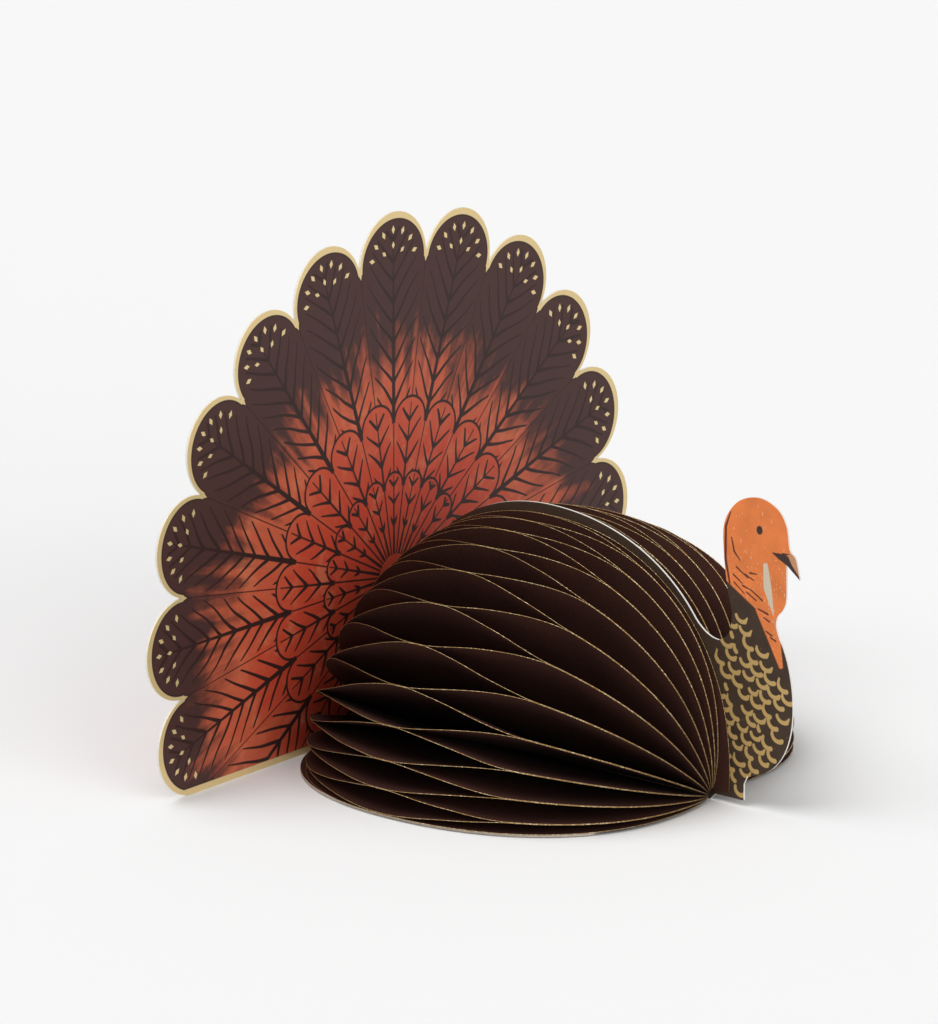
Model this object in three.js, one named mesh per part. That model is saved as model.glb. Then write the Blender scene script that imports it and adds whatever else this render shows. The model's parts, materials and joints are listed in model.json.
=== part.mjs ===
// Pop-up paper turkey for the table: a flat die-cut card stands in the middle plane, a honeycomb of paper
// leaves opens out on each side of it, a base board lies under each half, and a scalloped tail fan slots
// on behind. Millimetres, +Z up, the head looks along -Y and X is across the body. Stations along the body
// count from the tallest point of the leaves, and the whole figure is then centred over its footprint.
import * as THREE from "three";

// Card stock and paper
const CARD_THICKNESS = 0.9;
const FAN_THICKNESS = 0.9;
const BOARD_THICKNESS = 0.9;
const LEAF_THICKNESS = 0.24; // a leaf at its outer edge
const LEAF_ROOT_THICKNESS = 0.1; // the same leaf pressed thin at the spine
const GLUE_LINE = 0.12; // between two glued leaves at their outer edge
const GLUE_ROOT = 0.04; // between the same two at the spine
const SEAT_GAP = 0.2; // between an end leaf and the card or board that it is glued to
const SLOT_CLEARANCE = 0.3; // each side of a card in the slot of another

// Outline of one honeycomb leaf: an ellipse-like curve cut off along the spine
const LEAF_FRONT = 73; // tallest point to the front end
const LEAF_REAR = 66.5; // tallest point to the rear end
const LEAF_RADIUS = 84; // spine to the tallest point
const LEAF_WAIST = 22; // spine to where the leaf is longest
const LEAF_FULLNESS = 2.2; // 2 is a true ellipse, more is squarer
const SPINE_RADIUS = 3.5; // the leaves begin this far from the spine's axis

// Glue lines that make the honeycomb
const LEAF_PAIRS = 11; // on each side of the card
const FRONT_SPLIT = -42; // a glued pair parts here
const MIDDLE_GLUE = -0.3; // where a leaf meets the leaf of the next pair
const MIDDLE_GLUE_LENGTH = 8;
const REAR_SPLIT = 49.5; // the pair closes again here
const SPREAD = 90; // degrees from the card down to the base board
const CROWDING = 4.5; // degrees that the leaves lie nearer to card and board than in an even spread
const PAPER_EASE = 0.4; // 0 folds sharply at a glue line, 1 bends smoothly

// Base board: a fuller copy of the leaf, cut straight at both ends
const BOARD_INSET = 0.5; // inside the tallest point of the leaf
const BOARD_FRONT_SETBACK = 9.3; // front cut behind the front end of the leaves
const BOARD_REAR_SETBACK = 0.5; // rear cut ahead of the rear end of the leaves
const BOARD_FRONT_OVERRUN = 9.5; // its curve would close this far past the front cut
const BOARD_REAR_OVERRUN = 4; // and this far past the rear cut
const HINGE_GAP = 0.3; // spine axis to the board's inner edge

// Tail fan: round lobes side by side on a circle, with the lowest two standing on the table
const FAN_LOBES = 13;
const FAN_LOBE_PITCH = 18; // degrees
const FAN_NOTCH_RADIUS = 111; // circle through the notches between the lobes
const FAN_SETBACK = 0.9; // rear end of the leaves to the face of the fan

// Half-lap joint of the fan and the card's tail
const LAP_HEIGHT = 22; // floor of the card's slot above the table
const LAP_COVER = 22; // height of the card's slot
const TAIL_REACH = 10; // the card's tail behind the fan
const TAIL_ROUND = 6;

// Centre card: the back over the leaves, then neck, head and chest
const CARD_PROUD = 4.9; // the card's back above the leaf's curve at its tallest point
const CARD_FRONT_PROUD = 2.5; // the same towards the front end
const CARD_REAR_PROUD = 0; // and towards the rear end
const BACK_TAPER = 1.5; // 1 tapers evenly to both ends, more keeps the height longer
const SHOULDER_SETBACK = 11; // where the back ends, behind the front end of the leaves
const NOTCH_WIDTH = 19.6; // rounded notch between back and neck
const NOTCH_DEPTH = 5.5;
const HEAD_RISE = 51.5; // notch to crown
const HEAD_LENGTH = 27.5; // back of the head to the forehead
const BEAK_REACH = 4.6; // beak tip in front of the forehead
const CHEST_SWELL = 25.2; // pull of the chest's curve in front of its lower end
const CHEST_FOOT = 10.9; // lower end of the chest's curve above the table
const HEEL_SETBACK = 9.6; // front of the heel ahead of the back of the head
const HEEL_STEP = 1.5;

// Steps of the faceted curves
const TIP_STEPS = 7;
const CELL_STEPS = 6;
const GLUE_STEPS = 2;
const BACK_STEPS = 26;
const BOARD_STEPS = 28;
const LOBE_STEPS = 7; // half of a lobe
const CARD_CURVE_STEPS = 8; // between two points of the card's outline
const TIP_SHARE = 0.9999; // a leaf's end is cut off here, so that it keeps a narrow edge
const STRIP_CORNERS = 4; // of a leaf's cross-section

const DEGREE = Math.PI / 180;
const RIGHT_ANGLE = 90; // degrees
const RIGHT = -1; // the bird's right, on the -X side
const LEFT = 1;

const leafEdgeStack = GLUE_LINE / 2 + LEAF_THICKNESS;
const spineX = CARD_THICKNESS / 2 + SEAT_GAP + leafEdgeStack;
const spineZ = BOARD_THICKNESS + SEAT_GAP + leafEdgeStack;
const boardFrontCut = LEAF_FRONT - BOARD_FRONT_SETBACK;
const boardRearCut = LEAF_REAR - BOARD_REAR_SETBACK;
const fanFront = LEAF_REAR + FAN_SETBACK;
const fanBack = fanFront + FAN_THICKNESS;
const tailEnd = fanBack + TAIL_REACH;
const headBack = -LEAF_FRONT;
const beakTip = headBack - HEAD_LENGTH - BEAK_REACH;

const printedCard = { color: 0x43342c, roughness: 0.75, metalness: 0 };
const printedFan = { color: 0x7a3a2a, roughness: 0.65, metalness: 0 };
const greyBoard = { color: 0xc9c0b4, roughness: 0.9, metalness: 0 };
const brownPaper = { color: 0x1e1210, roughness: 0.85, metalness: 0 };

const figure = new THREE.Group();
figure.position.y = -(beakTip + tailEnd) / 2;

function addPiece(name, geometry, finish) {
  const mesh = new THREE.Mesh(geometry, new THREE.MeshStandardMaterial(finish));
  mesh.name = name;
  figure.add(mesh);
  return mesh;
}

// Half the height of the leaf's curve about its waist, for a station as a share of the half length.
function swell(share) {
  return (1 - Math.abs(share) ** LEAF_FULLNESS) ** (1 / LEAF_FULLNESS);
}

function curveShare(station, front, rear) {
  return station < 0 ? station / front : station / rear;
}

// Reach of the leaf from the spine at a station, on its outer and its inner edge.
function leafReach(station) {
  const half = (LEAF_RADIUS - LEAF_WAIST) * swell(curveShare(station, LEAF_FRONT, LEAF_REAR));
  return { outer: LEAF_WAIST + half, inner: Math.max(SPINE_RADIUS, LEAF_WAIST - half) };
}

// Angle of a glue line from the card, for its place in the stack: 0 is the card and 1 is the board.
function stackAngle(place) {
  return (SPREAD * place - CROWDING * Math.sin(2 * Math.PI * place)) * DEGREE;
}

function paperRamp(share) {
  const smooth = share * share * (3 - 2 * share);
  return share + PAPER_EASE * (smooth - share);
}

// 0 where a leaf lies in its own pair, 1 where it is glued to the next pair.
function cellOpening(station) {
  const middleEnd = MIDDLE_GLUE + MIDDLE_GLUE_LENGTH;
  if (station <= FRONT_SPLIT || station >= REAR_SPLIT) return 0;
  if (station < MIDDLE_GLUE) return paperRamp((station - FRONT_SPLIT) / (MIDDLE_GLUE - FRONT_SPLIT));
  if (station <= middleEnd) return 1;
  return paperRamp((REAR_SPLIT - station) / (REAR_SPLIT - middleEnd));
}

// Stations from the front end of a leaf to its rear end, closer together at the round ends.
function leafStations() {
  const stations = [];
  for (let i = 0; i < TIP_STEPS; i++) {
    const rise = 1 - Math.cos((i / TIP_STEPS) * (Math.PI / 2));
    stations.push(-LEAF_FRONT * TIP_SHARE + rise * (LEAF_FRONT * TIP_SHARE + FRONT_SPLIT));
  }
  const evenSteps = (from, to, count) => {
    for (let i = 0; i < count; i++) stations.push(from + ((to - from) * i) / count);
  };
  evenSteps(FRONT_SPLIT, MIDDLE_GLUE, CELL_STEPS);
  evenSteps(MIDDLE_GLUE, MIDDLE_GLUE + MIDDLE_GLUE_LENGTH, GLUE_STEPS);
  evenSteps(MIDDLE_GLUE + MIDDLE_GLUE_LENGTH, REAR_SPLIT, CELL_STEPS);
  for (let i = 0; i <= TIP_STEPS; i++) {
    const fall = Math.sin((i / TIP_STEPS) * (Math.PI / 2));
    stations.push(REAR_SPLIT + fall * (LEAF_REAR * TIP_SHARE - REAR_SPLIT));
  }
  return stations;
}

// One leaf as a closed solid. At each station it is a thin strip from the inner to the outer edge, turned
// about the spine by angleAt(station) and moved square to itself by sideAt(station), from -1 to 1.
function leafGeometry(side, angleAt, sideAt) {
  const corners = [];
  const place = (station, reach, offset) => {
    const angle = angleAt(station);
    const x = spineX + reach * Math.sin(angle) + offset * Math.cos(angle);
    const z = spineZ + reach * Math.cos(angle) - offset * Math.sin(angle);
    corners.push(side * x, station, z);
  };
  const stations = leafStations();
  for (const station of stations) {
    const { inner, outer } = leafReach(station);
    const strip = [inner, outer].map((reach) => {
      const share = (reach - SPINE_RADIUS) / (LEAF_RADIUS - SPINE_RADIUS);
      const thickness = THREE.MathUtils.lerp(LEAF_ROOT_THICKNESS, LEAF_THICKNESS, share);
      const glue = THREE.MathUtils.lerp(GLUE_ROOT, GLUE_LINE, share);
      const middle = (sideAt(station) * (glue + thickness)) / 2;
      return { reach, low: middle - thickness / 2, high: middle + thickness / 2 };
    });
    place(station, strip[0].reach, strip[0].low);
    place(station, strip[1].reach, strip[1].low);
    place(station, strip[1].reach, strip[1].high);
    place(station, strip[0].reach, strip[0].high);
  }
  const faces = [];
  const quad = (a, b, c, d) => faces.push([a, b, c], [a, c, d]);
  const last = STRIP_CORNERS * (stations.length - 1);
  quad(0, 1, 2, 3);
  quad(last + 3, last + 2, last + 1, last);
  // Both broad faces are split from the inner edge to the next outer corner, so that a twisted leaf stays thin.
  for (let near = 0; near < last; near += STRIP_CORNERS) {
    const far = near + STRIP_CORNERS;
    quad(near, far, far + 1, near + 1);
    quad(near + 1, far + 1, far + 2, near + 2);
    quad(far + 2, far + 3, near + 3, near + 2);
    quad(near + 3, far + 3, far, near);
  }
  const outward = side === RIGHT ? faces : faces.map(([a, b, c]) => [a, c, b]);
  const geometry = new THREE.BufferGeometry();
  geometry.setAttribute("position", new THREE.Float32BufferAttribute(corners, 3));
  geometry.setIndex(outward.flat());
  return geometry;
}

// The leaves of one side, from the one glued to the card to the one glued to the base board.
function addHoneycomb(side, sideName) {
  const addLeaf = (name, angleAt, sideAt) => {
    addPiece(`${sideName}_${name}`, leafGeometry(side, angleAt, sideAt), brownPaper);
  };
  addLeaf("card_leaf", () => stackAngle(0), () => -1);
  for (let leaf = 0; leaf < 2 * LEAF_PAIRS; leaf++) {
    const pair = Math.floor(leaf / 2);
    const upper = leaf % 2 === 0;
    const own = stackAngle((pair + 0.5) / LEAF_PAIRS);
    const next = stackAngle((upper ? pair : pair + 1) / LEAF_PAIRS);
    const ownSide = upper ? -1 : 1;
    addLeaf(
      `leaf_${String(leaf + 1).padStart(2, "0")}`,
      (station) => THREE.MathUtils.lerp(own, next, cellOpening(station)),
      (station) => ownSide * (1 - 2 * cellOpening(station)),
    );
  }
  addLeaf("board_leaf", () => stackAngle(1), () => 1);
}

function extruded(shape, depth, curveSegments) {
  return new THREE.ExtrudeGeometry(shape, { depth, curveSegments, bevelEnabled: false });
}

// Base board, drawn from the spine outwards and turned about it to the end of the spread, flat on the table
// when the spread is a right angle.
function addBaseBoard(side, sideName) {
  const shape = new THREE.Shape();
  shape.moveTo(side * HINGE_GAP, -boardFrontCut);
  for (let i = 0; i <= BOARD_STEPS; i++) {
    const station = THREE.MathUtils.lerp(-boardFrontCut, boardRearCut, i / BOARD_STEPS);
    const share = curveShare(station, boardFrontCut + BOARD_FRONT_OVERRUN, boardRearCut + BOARD_REAR_OVERRUN);
    const half = (LEAF_RADIUS - BOARD_INSET - LEAF_WAIST) * swell(share);
    shape.lineTo(side * (LEAF_WAIST + half), station);
  }
  shape.lineTo(side * HINGE_GAP, boardRearCut);
  const sheet = extruded(shape, BOARD_THICKNESS, 1);
  sheet.translate(0, 0, -spineZ);
  const board = addPiece(`${sideName}_base_board`, sheet, greyBoard);
  board.position.set(side * spineX, 0, spineZ);
  board.rotation.y = side * (SPREAD - RIGHT_ANGLE) * DEGREE;
}

// Tail fan: half-round lobes on the chords of the notch circle, and a slot over the card's tail.
function addTailFan() {
  const pitch = FAN_LOBE_PITCH * DEGREE;
  const lobeRadius = FAN_NOTCH_RADIUS * Math.sin(pitch / 2);
  const lobeCircle = FAN_NOTCH_RADIUS * Math.cos(pitch / 2);
  const lowest = ((FAN_LOBES - 1) / 2) * pitch;
  const fanCentre = lobeRadius - lobeCircle * Math.cos(lowest);
  const slotHalf = CARD_THICKNESS / 2 + SLOT_CLEARANCE;
  const slotTop = LAP_HEIGHT + SLOT_CLEARANCE;
  const shape = new THREE.Shape();
  shape.moveTo(-slotHalf, 0);
  shape.lineTo(-slotHalf, slotTop);
  shape.lineTo(slotHalf, slotTop);
  shape.lineTo(slotHalf, 0);
  shape.lineTo(lobeCircle * Math.sin(lowest), 0);
  for (let lobe = 0; lobe < FAN_LOBES; lobe++) {
    const lean = lowest - lobe * pitch;
    const from = lobe === 0 ? -Math.PI / 2 : -lean;
    const to = lobe === FAN_LOBES - 1 ? 1.5 * Math.PI : Math.PI - lean;
    const x = lobeCircle * Math.sin(lean);
    const y = fanCentre + lobeCircle * Math.cos(lean);
    shape.absarc(x, y, lobeRadius, from, to, false);
  }
  const fan = addPiece("tail_fan", extruded(shape, FAN_THICKNESS, LOBE_STEPS), printedFan);
  fan.rotation.x = Math.PI / 2;
  fan.position.y = fanBack;
}

// Centre card, drawn from the side with the station across and the height up.
function addCentreCard() {
  const backHeight = (station) => {
    const share = Math.abs(curveShare(station, LEAF_FRONT, LEAF_REAR)) ** BACK_TAPER;
    const endProud = station < 0 ? CARD_FRONT_PROUD : CARD_REAR_PROUD;
    return leafReach(station).outer + THREE.MathUtils.lerp(CARD_PROUD, endProud, share);
  };
  const shoulder = headBack + SHOULDER_SETBACK;
  const notchFloor = backHeight(shoulder) - NOTCH_DEPTH;
  const lapTop = LAP_HEIGHT + LAP_COVER;
  const slotFront = fanFront - SLOT_CLEARANCE;
  const slotBack = fanBack + SLOT_CLEARANCE;
  const tailJoin = LEAF_REAR - CARD_PROUD;
  const headPoint = (forward, up) =>
    new THREE.Vector2(headBack - forward * HEAD_LENGTH, notchFloor + up * HEAD_RISE);
  const shape = new THREE.Shape();

  // Heel, lower edge and the tail with its slot for the fan
  shape.moveTo(headBack - HEEL_SETBACK, 0);
  shape.lineTo(tailEnd - TAIL_ROUND, 0);
  shape.quadraticCurveTo(tailEnd, 0, tailEnd, TAIL_ROUND);
  shape.lineTo(tailEnd, lapTop - 2 * TAIL_ROUND);
  shape.quadraticCurveTo(tailEnd, lapTop - TAIL_ROUND, slotBack, lapTop - TAIL_ROUND);
  shape.lineTo(slotBack, LAP_HEIGHT);
  shape.lineTo(slotFront, LAP_HEIGHT);
  shape.lineTo(slotFront, lapTop);

  // Back, as one arc over the leaves, down to the notch behind the neck
  const rearTurn = Math.acos(tailJoin / LEAF_REAR);
  const frontTurn = Math.acos(shoulder / LEAF_FRONT);
  for (let i = 0; i <= BACK_STEPS; i++) {
    const turn = THREE.MathUtils.lerp(rearTurn, frontTurn, i / BACK_STEPS);
    const station = Math.cos(turn) * (turn < Math.PI / 2 ? LEAF_REAR : LEAF_FRONT);
    shape.lineTo(station, backHeight(station));
  }
  const notchMiddle = shoulder - NOTCH_WIDTH / 2;
  shape.quadraticCurveTo((shoulder + notchMiddle) / 2, notchFloor, notchMiddle, notchFloor);

  // Neck, head, beak, wattle and throat, in shares of the head's length and rise
  shape.splineThru([
    headPoint(0.1, 0.055),
    headPoint(0.15, 0.2),
    headPoint(0.08, 0.36),
    headPoint(0.025, 0.58),
    headPoint(0.03, 0.79),
    headPoint(0.23, 0.945),
    headPoint(0.54, 1),
    headPoint(0.81, 0.957),
    headPoint(0.955, 0.856),
    headPoint(1.01, 0.7),
    headPoint(1.1, 0.65),
    new THREE.Vector2(beakTip, headPoint(1, 0.515).y),
  ]);
  const mouth = headPoint(0.96, 0.6);
  const chestTop = headPoint(0.87, 0.09);
  shape.lineTo(mouth.x, mouth.y);
  shape.splineThru([
    headPoint(0.967, 0.38),
    headPoint(0.925, 0.3),
    headPoint(0.835, 0.24),
    headPoint(0.815, 0.175),
    chestTop,
  ]);

  // Chest, back under the body to the heel
  const chestEnd = headBack - HEEL_SETBACK - HEEL_STEP;
  const chestDrop = (chestTop.y - CHEST_FOOT) / 5;
  shape.bezierCurveTo(
    chestTop.x - chestDrop / 1.5,
    chestTop.y - chestDrop,
    chestEnd - CHEST_SWELL,
    CHEST_FOOT + chestDrop / 2.4,
    chestEnd,
    CHEST_FOOT,
  );
  shape.lineTo(headBack - HEEL_SETBACK, CHEST_FOOT - 2 * HEEL_STEP);

  const card = addPiece("centre_card", extruded(shape, CARD_THICKNESS, CARD_CURVE_STEPS), printedCard);
  const stationAxis = new THREE.Vector3(0, 1, 0);
  const heightAxis = new THREE.Vector3(0, 0, 1);
  const acrossAxis = new THREE.Vector3(1, 0, 0);
  card.quaternion.setFromRotationMatrix(new THREE.Matrix4().makeBasis(stationAxis, heightAxis, acrossAxis));
  card.position.x = -CARD_THICKNESS / 2;
}

addCentreCard();
addTailFan();
for (const [side, sideName] of [
  [RIGHT, "right"],
  [LEFT, "left"],
]) {
  addHoneycomb(side, sideName);
  addBaseBoard(side, sideName);
}

export default figure;
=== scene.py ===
"""Looks of a pop-up paper turkey for the table, built around its packed model.

A die-cut card with neck and head stands in the middle plane, a honeycomb of dyed paper leaves with gold edges
opens on each side of it over a grey base board, and a scalloped tail fan slots on behind. Metres, +Z up, the
head looks along -Y. Stations along the body count from the tallest point of the leaves. Prints are laid out
in millimetres.
"""
import json
import math
from functools import partial

import bmesh
import bpy
from bpy.props import FloatProperty, FloatVectorProperty, IntProperty, PointerProperty
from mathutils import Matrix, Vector


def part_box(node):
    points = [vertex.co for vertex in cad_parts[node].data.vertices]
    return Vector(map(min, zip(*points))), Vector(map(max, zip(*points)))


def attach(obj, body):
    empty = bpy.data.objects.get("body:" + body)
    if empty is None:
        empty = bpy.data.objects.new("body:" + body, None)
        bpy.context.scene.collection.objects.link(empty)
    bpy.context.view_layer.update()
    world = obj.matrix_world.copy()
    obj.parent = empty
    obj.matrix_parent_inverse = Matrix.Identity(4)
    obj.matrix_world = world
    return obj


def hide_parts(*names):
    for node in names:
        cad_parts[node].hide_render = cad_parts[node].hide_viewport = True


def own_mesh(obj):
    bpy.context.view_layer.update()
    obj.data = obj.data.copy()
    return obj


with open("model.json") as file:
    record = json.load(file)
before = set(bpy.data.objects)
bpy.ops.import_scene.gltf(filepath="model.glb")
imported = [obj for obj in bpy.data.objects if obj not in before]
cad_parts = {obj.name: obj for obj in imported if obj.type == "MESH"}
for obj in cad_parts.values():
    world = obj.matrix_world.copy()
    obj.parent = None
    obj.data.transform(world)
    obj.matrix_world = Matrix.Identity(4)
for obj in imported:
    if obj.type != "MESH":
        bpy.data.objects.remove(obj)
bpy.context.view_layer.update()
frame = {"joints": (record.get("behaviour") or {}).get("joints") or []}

bl_info = {
    "name": "Paper Honeycomb Turkey",
    "version": (1, 0, 0),
    "blender": (4, 5, 0),
    "location": "3D View > Sidebar > Paper Turkey",
    "description": "Builds a pop-up paper turkey with a honeycomb body and a scalloped tail fan",
    "category": "Add Mesh",
}

MM = 0.001
PER_METRE = 1000.0  # millimetres
SIDES = {"right": -1, "left": 1}
JOINTS = {joint["name"]: joint for joint in frame["joints"]}
SPINES = {side: Vector(JOINTS[f"{side}_fold"]["pos_m"]) for side in SIDES}
STATION_ZERO = SPINES["right"].y
FAN_FRONT, FAN_BACK = (corner.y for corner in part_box("tail_fan"))
CARD_RIGHT, CARD_LEFT = (corner.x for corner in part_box("centre_card"))


# Settings


def linear(code):
    """An sRGB hex colour as linear red, green, blue and alpha."""
    parts = [int(code[i : i + 2], 16) / 255 for i in (1, 3, 5)]
    return tuple(p / 12.92 if p <= 0.04045 else ((p + 0.055) / 1.055) ** 2.4 for p in parts) + (1.0,)


def size(name, description, millimetres):
    kind = {"unit": "LENGTH", "subtype": "DISTANCE", "precision": 5}
    return FloatProperty(name=name, description=description, default=millimetres * MM, **kind)


def angle(name, description, degrees):
    kind = {"unit": "ROTATION", "subtype": "ANGLE"}
    return FloatProperty(name=name, description=description, default=math.radians(degrees), **kind)


def number(name, description, value):
    return FloatProperty(name=name, description=description, default=value)


def count(name, description, value):
    return IntProperty(name=name, description=description, default=value, min=2)


def colour(name, description, code):
    kind = {"size": 4, "min": 0, "max": 1, "subtype": "COLOR"}
    return FloatVectorProperty(name=name, description=description, default=linear(code), **kind)


class HoneycombSizes(bpy.types.PropertyGroup):
    """Sizes of the paper leaves and of the glue lines between them"""

    pairs: count("Pairs", "Glued pairs of leaves on each side", 11)
    front: size("Front", "Tallest point of a leaf to its front end", 73)
    rear: size("Rear", "Tallest point of a leaf to its rear end", 66.5)
    radius: size("Radius", "Spine to the tallest point", 84)
    waist: size("Waist", "Spine to where the leaf is longest", 22)
    fullness: number("Fullness", "2 is a true ellipse, more is squarer", 2.2)
    root: size("Root", "Spine's axis to the inner edge of the leaves", 2.5)
    paper: size("Paper", "Thickness of a leaf", 0.14)
    edge: size("Edge", "Width of the gold bead on a cut edge", 0.17)
    glue: size("Glue", "Gap between the beads of two glued leaves", 0.06)
    end_glue: size("End Glue", "The same for the leaves glued flat to card and board", 0.2)
    end_front: size("End Front", "Front of the leaf that is glued to the card, which shows as a strip", 77)
    end_waist: size("End Waist", "Waist of that leaf", 8)
    pressed: size("Pressed", "Within this reach the leaves are pressed thin", 12)
    front_split: size("Front Split", "A glued pair parts at this station", -42)
    middle: size("Middle", "A leaf meets the leaf of the next pair at this station", -0.3)
    middle_length: size("Middle Length", "Length of that glue line", 8)
    rear_split: size("Rear Split", "The pair closes again at this station", 49.5)
    spread: angle("Spread", "From the card down to the base board", 90)
    crowding: angle("Crowding", "How much nearer leaves lie to card and board than in an even spread", 4.5)
    ease: number("Ease", "0 folds sharply at a glue line, 1 bends smoothly", 0.4)
    ripple: angle("Ripple", "Unevenness of the paper between its glue lines", 0.5)
    left_lag: size("Left Lag", "How far the left half's lowest leaves are pulled back at the front", 5)


class BoardSizes(bpy.types.PropertyGroup):
    """Sizes of the base boards"""

    inset: size("Inset", "Inside the tallest point of the leaf", 0.5)
    front_setback: size("Front Setback", "Front cut behind the front end of the leaves", 9.3)
    rear_setback: size("Rear Setback", "Rear cut ahead of the rear end of the leaves", 0.5)
    front_overrun: size("Front Overrun", "The curve would close this far past the front cut", 9.5)
    rear_overrun: size("Rear Overrun", "The curve would close this far past the rear cut", 4)
    hinge_gap: size("Hinge Gap", "Spine's axis to the inner edge", 0.3)
    lip: size("Lip", "The edge bows up from the table by this much", 0.27)
    lip_depth: size("Lip Depth", "How far in from the edge the board lies on the table", 1.5)
    top: size("Top", "Upper face, pressed up to the leaf that is glued on it", 1.12)


class CardSizes(bpy.types.PropertyGroup):
    """Sizes of the centre card's outline and of its gold scales"""

    proud: size("Proud", "The card's back above the leaf's curve at its tallest point", 4.9)
    front_proud: size("Front Proud", "The same towards the front end", 2.5)
    rear_proud: size("Rear Proud", "The same towards the rear end", 0)
    back_taper: number("Back Taper", "1 tapers evenly to both ends", 1.5)
    shoulder_setback: size("Shoulder Setback", "The back's end behind the front end of the leaves", 11)
    notch_width: size("Notch Width", "Rounded notch between back and neck", 19.6)
    notch_depth: size("Notch Depth", "Notch below the end of the back", 5.5)
    head_rise: size("Head Rise", "Notch to crown", 51.5)
    head_length: size("Head Length", "Back of the head to the forehead", 27.5)
    beak_reach: size("Beak Reach", "Beak tip in front of the forehead", 4.6)
    chest_swell: size("Chest Swell", "Pull of the chest's curve in front of its lower end", 25.2)
    chest_foot: size("Chest Foot", "Lower end of the chest's curve above the table", 10.9)
    heel_setback: size("Heel Setback", "Front of the heel ahead of the back of the head", 9.6)
    heel_step: size("Heel Step", "Chest ahead of the heel", 1.5)
    heel_lift: size("Heel Lift", "Lower edge in front of the leaves above the table", 2.2)
    lap_height: size("Lap Height", "Floor of the slot for the fan above the table", 22)
    lap_cover: size("Lap Cover", "Height of that slot", 22)
    clearance: size("Clearance", "Each side of a card in the slot of another", 0.3)
    tail_reach: size("Tail Reach", "The card's tail behind the fan", 10)
    tail_round: size("Tail Round", "Corner of the tail", 6)
    chamfer: size("Chamfer", "Edge pressed over by the cutting die", 0.1)
    scale_width: size("Scale Width", "From one gold scale of the breast to the next in its row", 5.8)
    scale_height: size("Scale Height", "Rise from one row of scales to the next", 3.6)
    scale_line: size("Scale Line", "Width of a scale's stroke", 1.5)


class FanSizes(bpy.types.PropertyGroup):
    """Sizes of the tail fan and its print"""

    lobes: count("Lobes", "Round lobes side by side", 13)
    pitch: angle("Pitch", "From one lobe to the next", 18)
    notch_radius: size("Notch Radius", "Circle through the notches between the lobes", 111)
    border: size("Border", "Gold foil along the outline", 2.3)
    notch_border: size("Notch Border", "The same beside a notch", 1.2)
    notch_point: size("Notch Point", "Reach of the foil's point below a notch", 3.6)
    keyline: size("Keyline", "Dark line inside the foil", 0.5)
    barb_pitch: size("Barb Pitch", "From one barb of a feather to the next", 7)
    barb_line: size("Barb Line", "Width of a barb at the shaft", 2.1)
    shaft_line: size("Shaft Line", "Width of a feather's shaft", 2.3)
    middle_tier: size("Middle Tier", "Circle of the middle row of feathers", 54)
    inner_tier: size("Inner Tier", "Circle of the inner row of feathers", 32)


class PaperColours(bpy.types.PropertyGroup):
    """Colours of paper, board, ink and foil"""

    leaf: colour("Leaf", "Dyed paper of the honeycomb", "#371C17")
    leaf_grain: colour("Leaf Grain", "Its paler fibres", "#553022")
    edge_gold: colour("Edge Gold", "Bronze powder on the leaf edges", "#F3E2BA")
    edge_worn: colour("Edge Worn", "Edge where the powder is thin", "#A98755")
    core: colour("Core", "Pulp core of the printed card", "#F1EEE7")
    board: colour("Board", "Grey base board", "#C4BAAC")
    foil: colour("Foil", "Pale gold foil", "#E8CE96")
    scale_gold: colour("Scale Gold", "Gold ink of the breast", "#D5B272")
    breast: colour("Breast", "Brown of the card", "#403024")
    head: colour("Head", "Orange of the head", "#ED8343")
    # Painted glints: the pale scratches of the head stand for reflections off its glossy print; the same
    # colour makes the pale dots of the neck
    head_light: colour("Head Light", "Pale scratches of the head", "#F5C9A4")
    beak: colour("Beak", "Tan of the beak", "#CB9169")
    wattle: colour("Wattle", "Pale stripe of the wattle", "#D8CBB4")
    ink: colour("Ink", "Dark strokes of the head", "#5C2A22")
    eye: colour("Eye", "Eye and mouth", "#3A2824")
    feather_tip: colour("Feather Tip", "Dark ends of the tail feathers", "#492F2C")
    feather_middle: colour("Feather Middle", "Orange middle of the tail feathers", "#CC6345")
    feather_root: colour("Feather Root", "Red centre of the fan", "#CE4A33")
    feather_pale: colour("Feather Pale", "Thin places in the orange wash", "#DA815C")
    feather_ink: colour("Feather Ink", "Shafts and barbs of the fan", "#34211E")


class StageSettings(bpy.types.PropertyGroup):
    """Camera, lights and floor"""

    azimuth: angle("Azimuth", "Camera's turn about the object, 0 looks along +Y", -50.73)
    elevation: angle("Elevation", "Camera above the horizon", 15.97)
    lens: number("Lens", "Focal length in millimetres", 351.6)
    distance: size("Distance", "Camera to its target", 3350)
    target_y: size("Target Y", "Camera target along the body", 48.1)
    target_z: size("Target Z", "Camera target above the table", 79.9)
    sky: number("Sky", "Even light from all sides", 0.3)
    key: number("Key", "Strength of the soft light from above", 1.87)
    key_azimuth: angle("Key Azimuth", "Where the key light comes from, in the camera's sense", -125)
    key_elevation: angle("Key Elevation", "Key light above the horizon", 68)
    fill: number("Fill", "Strength of the light from the front", 1.1)
    fill_azimuth: angle("Fill Azimuth", "Where the fill light comes from", -20)
    fill_elevation: angle("Fill Elevation", "Fill light above the horizon", 25)
    softness: angle("Softness", "Angle that each light fills", 55)
    floor: colour("Floor", "Pale paper of floor and backdrop", "#F8F8F8")
    floor_size: size("Floor Size", "Width and depth of the floor", 9000)


SETTINGS = {
    "turkey_honeycomb": HoneycombSizes,
    "turkey_board": BoardSizes,
    "turkey_card": CardSizes,
    "turkey_fan": FanSizes,
    "turkey_colours": PaperColours,
    "turkey_stage": StageSettings,
}


# Nodes, with names for the kinds that come up often

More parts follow.
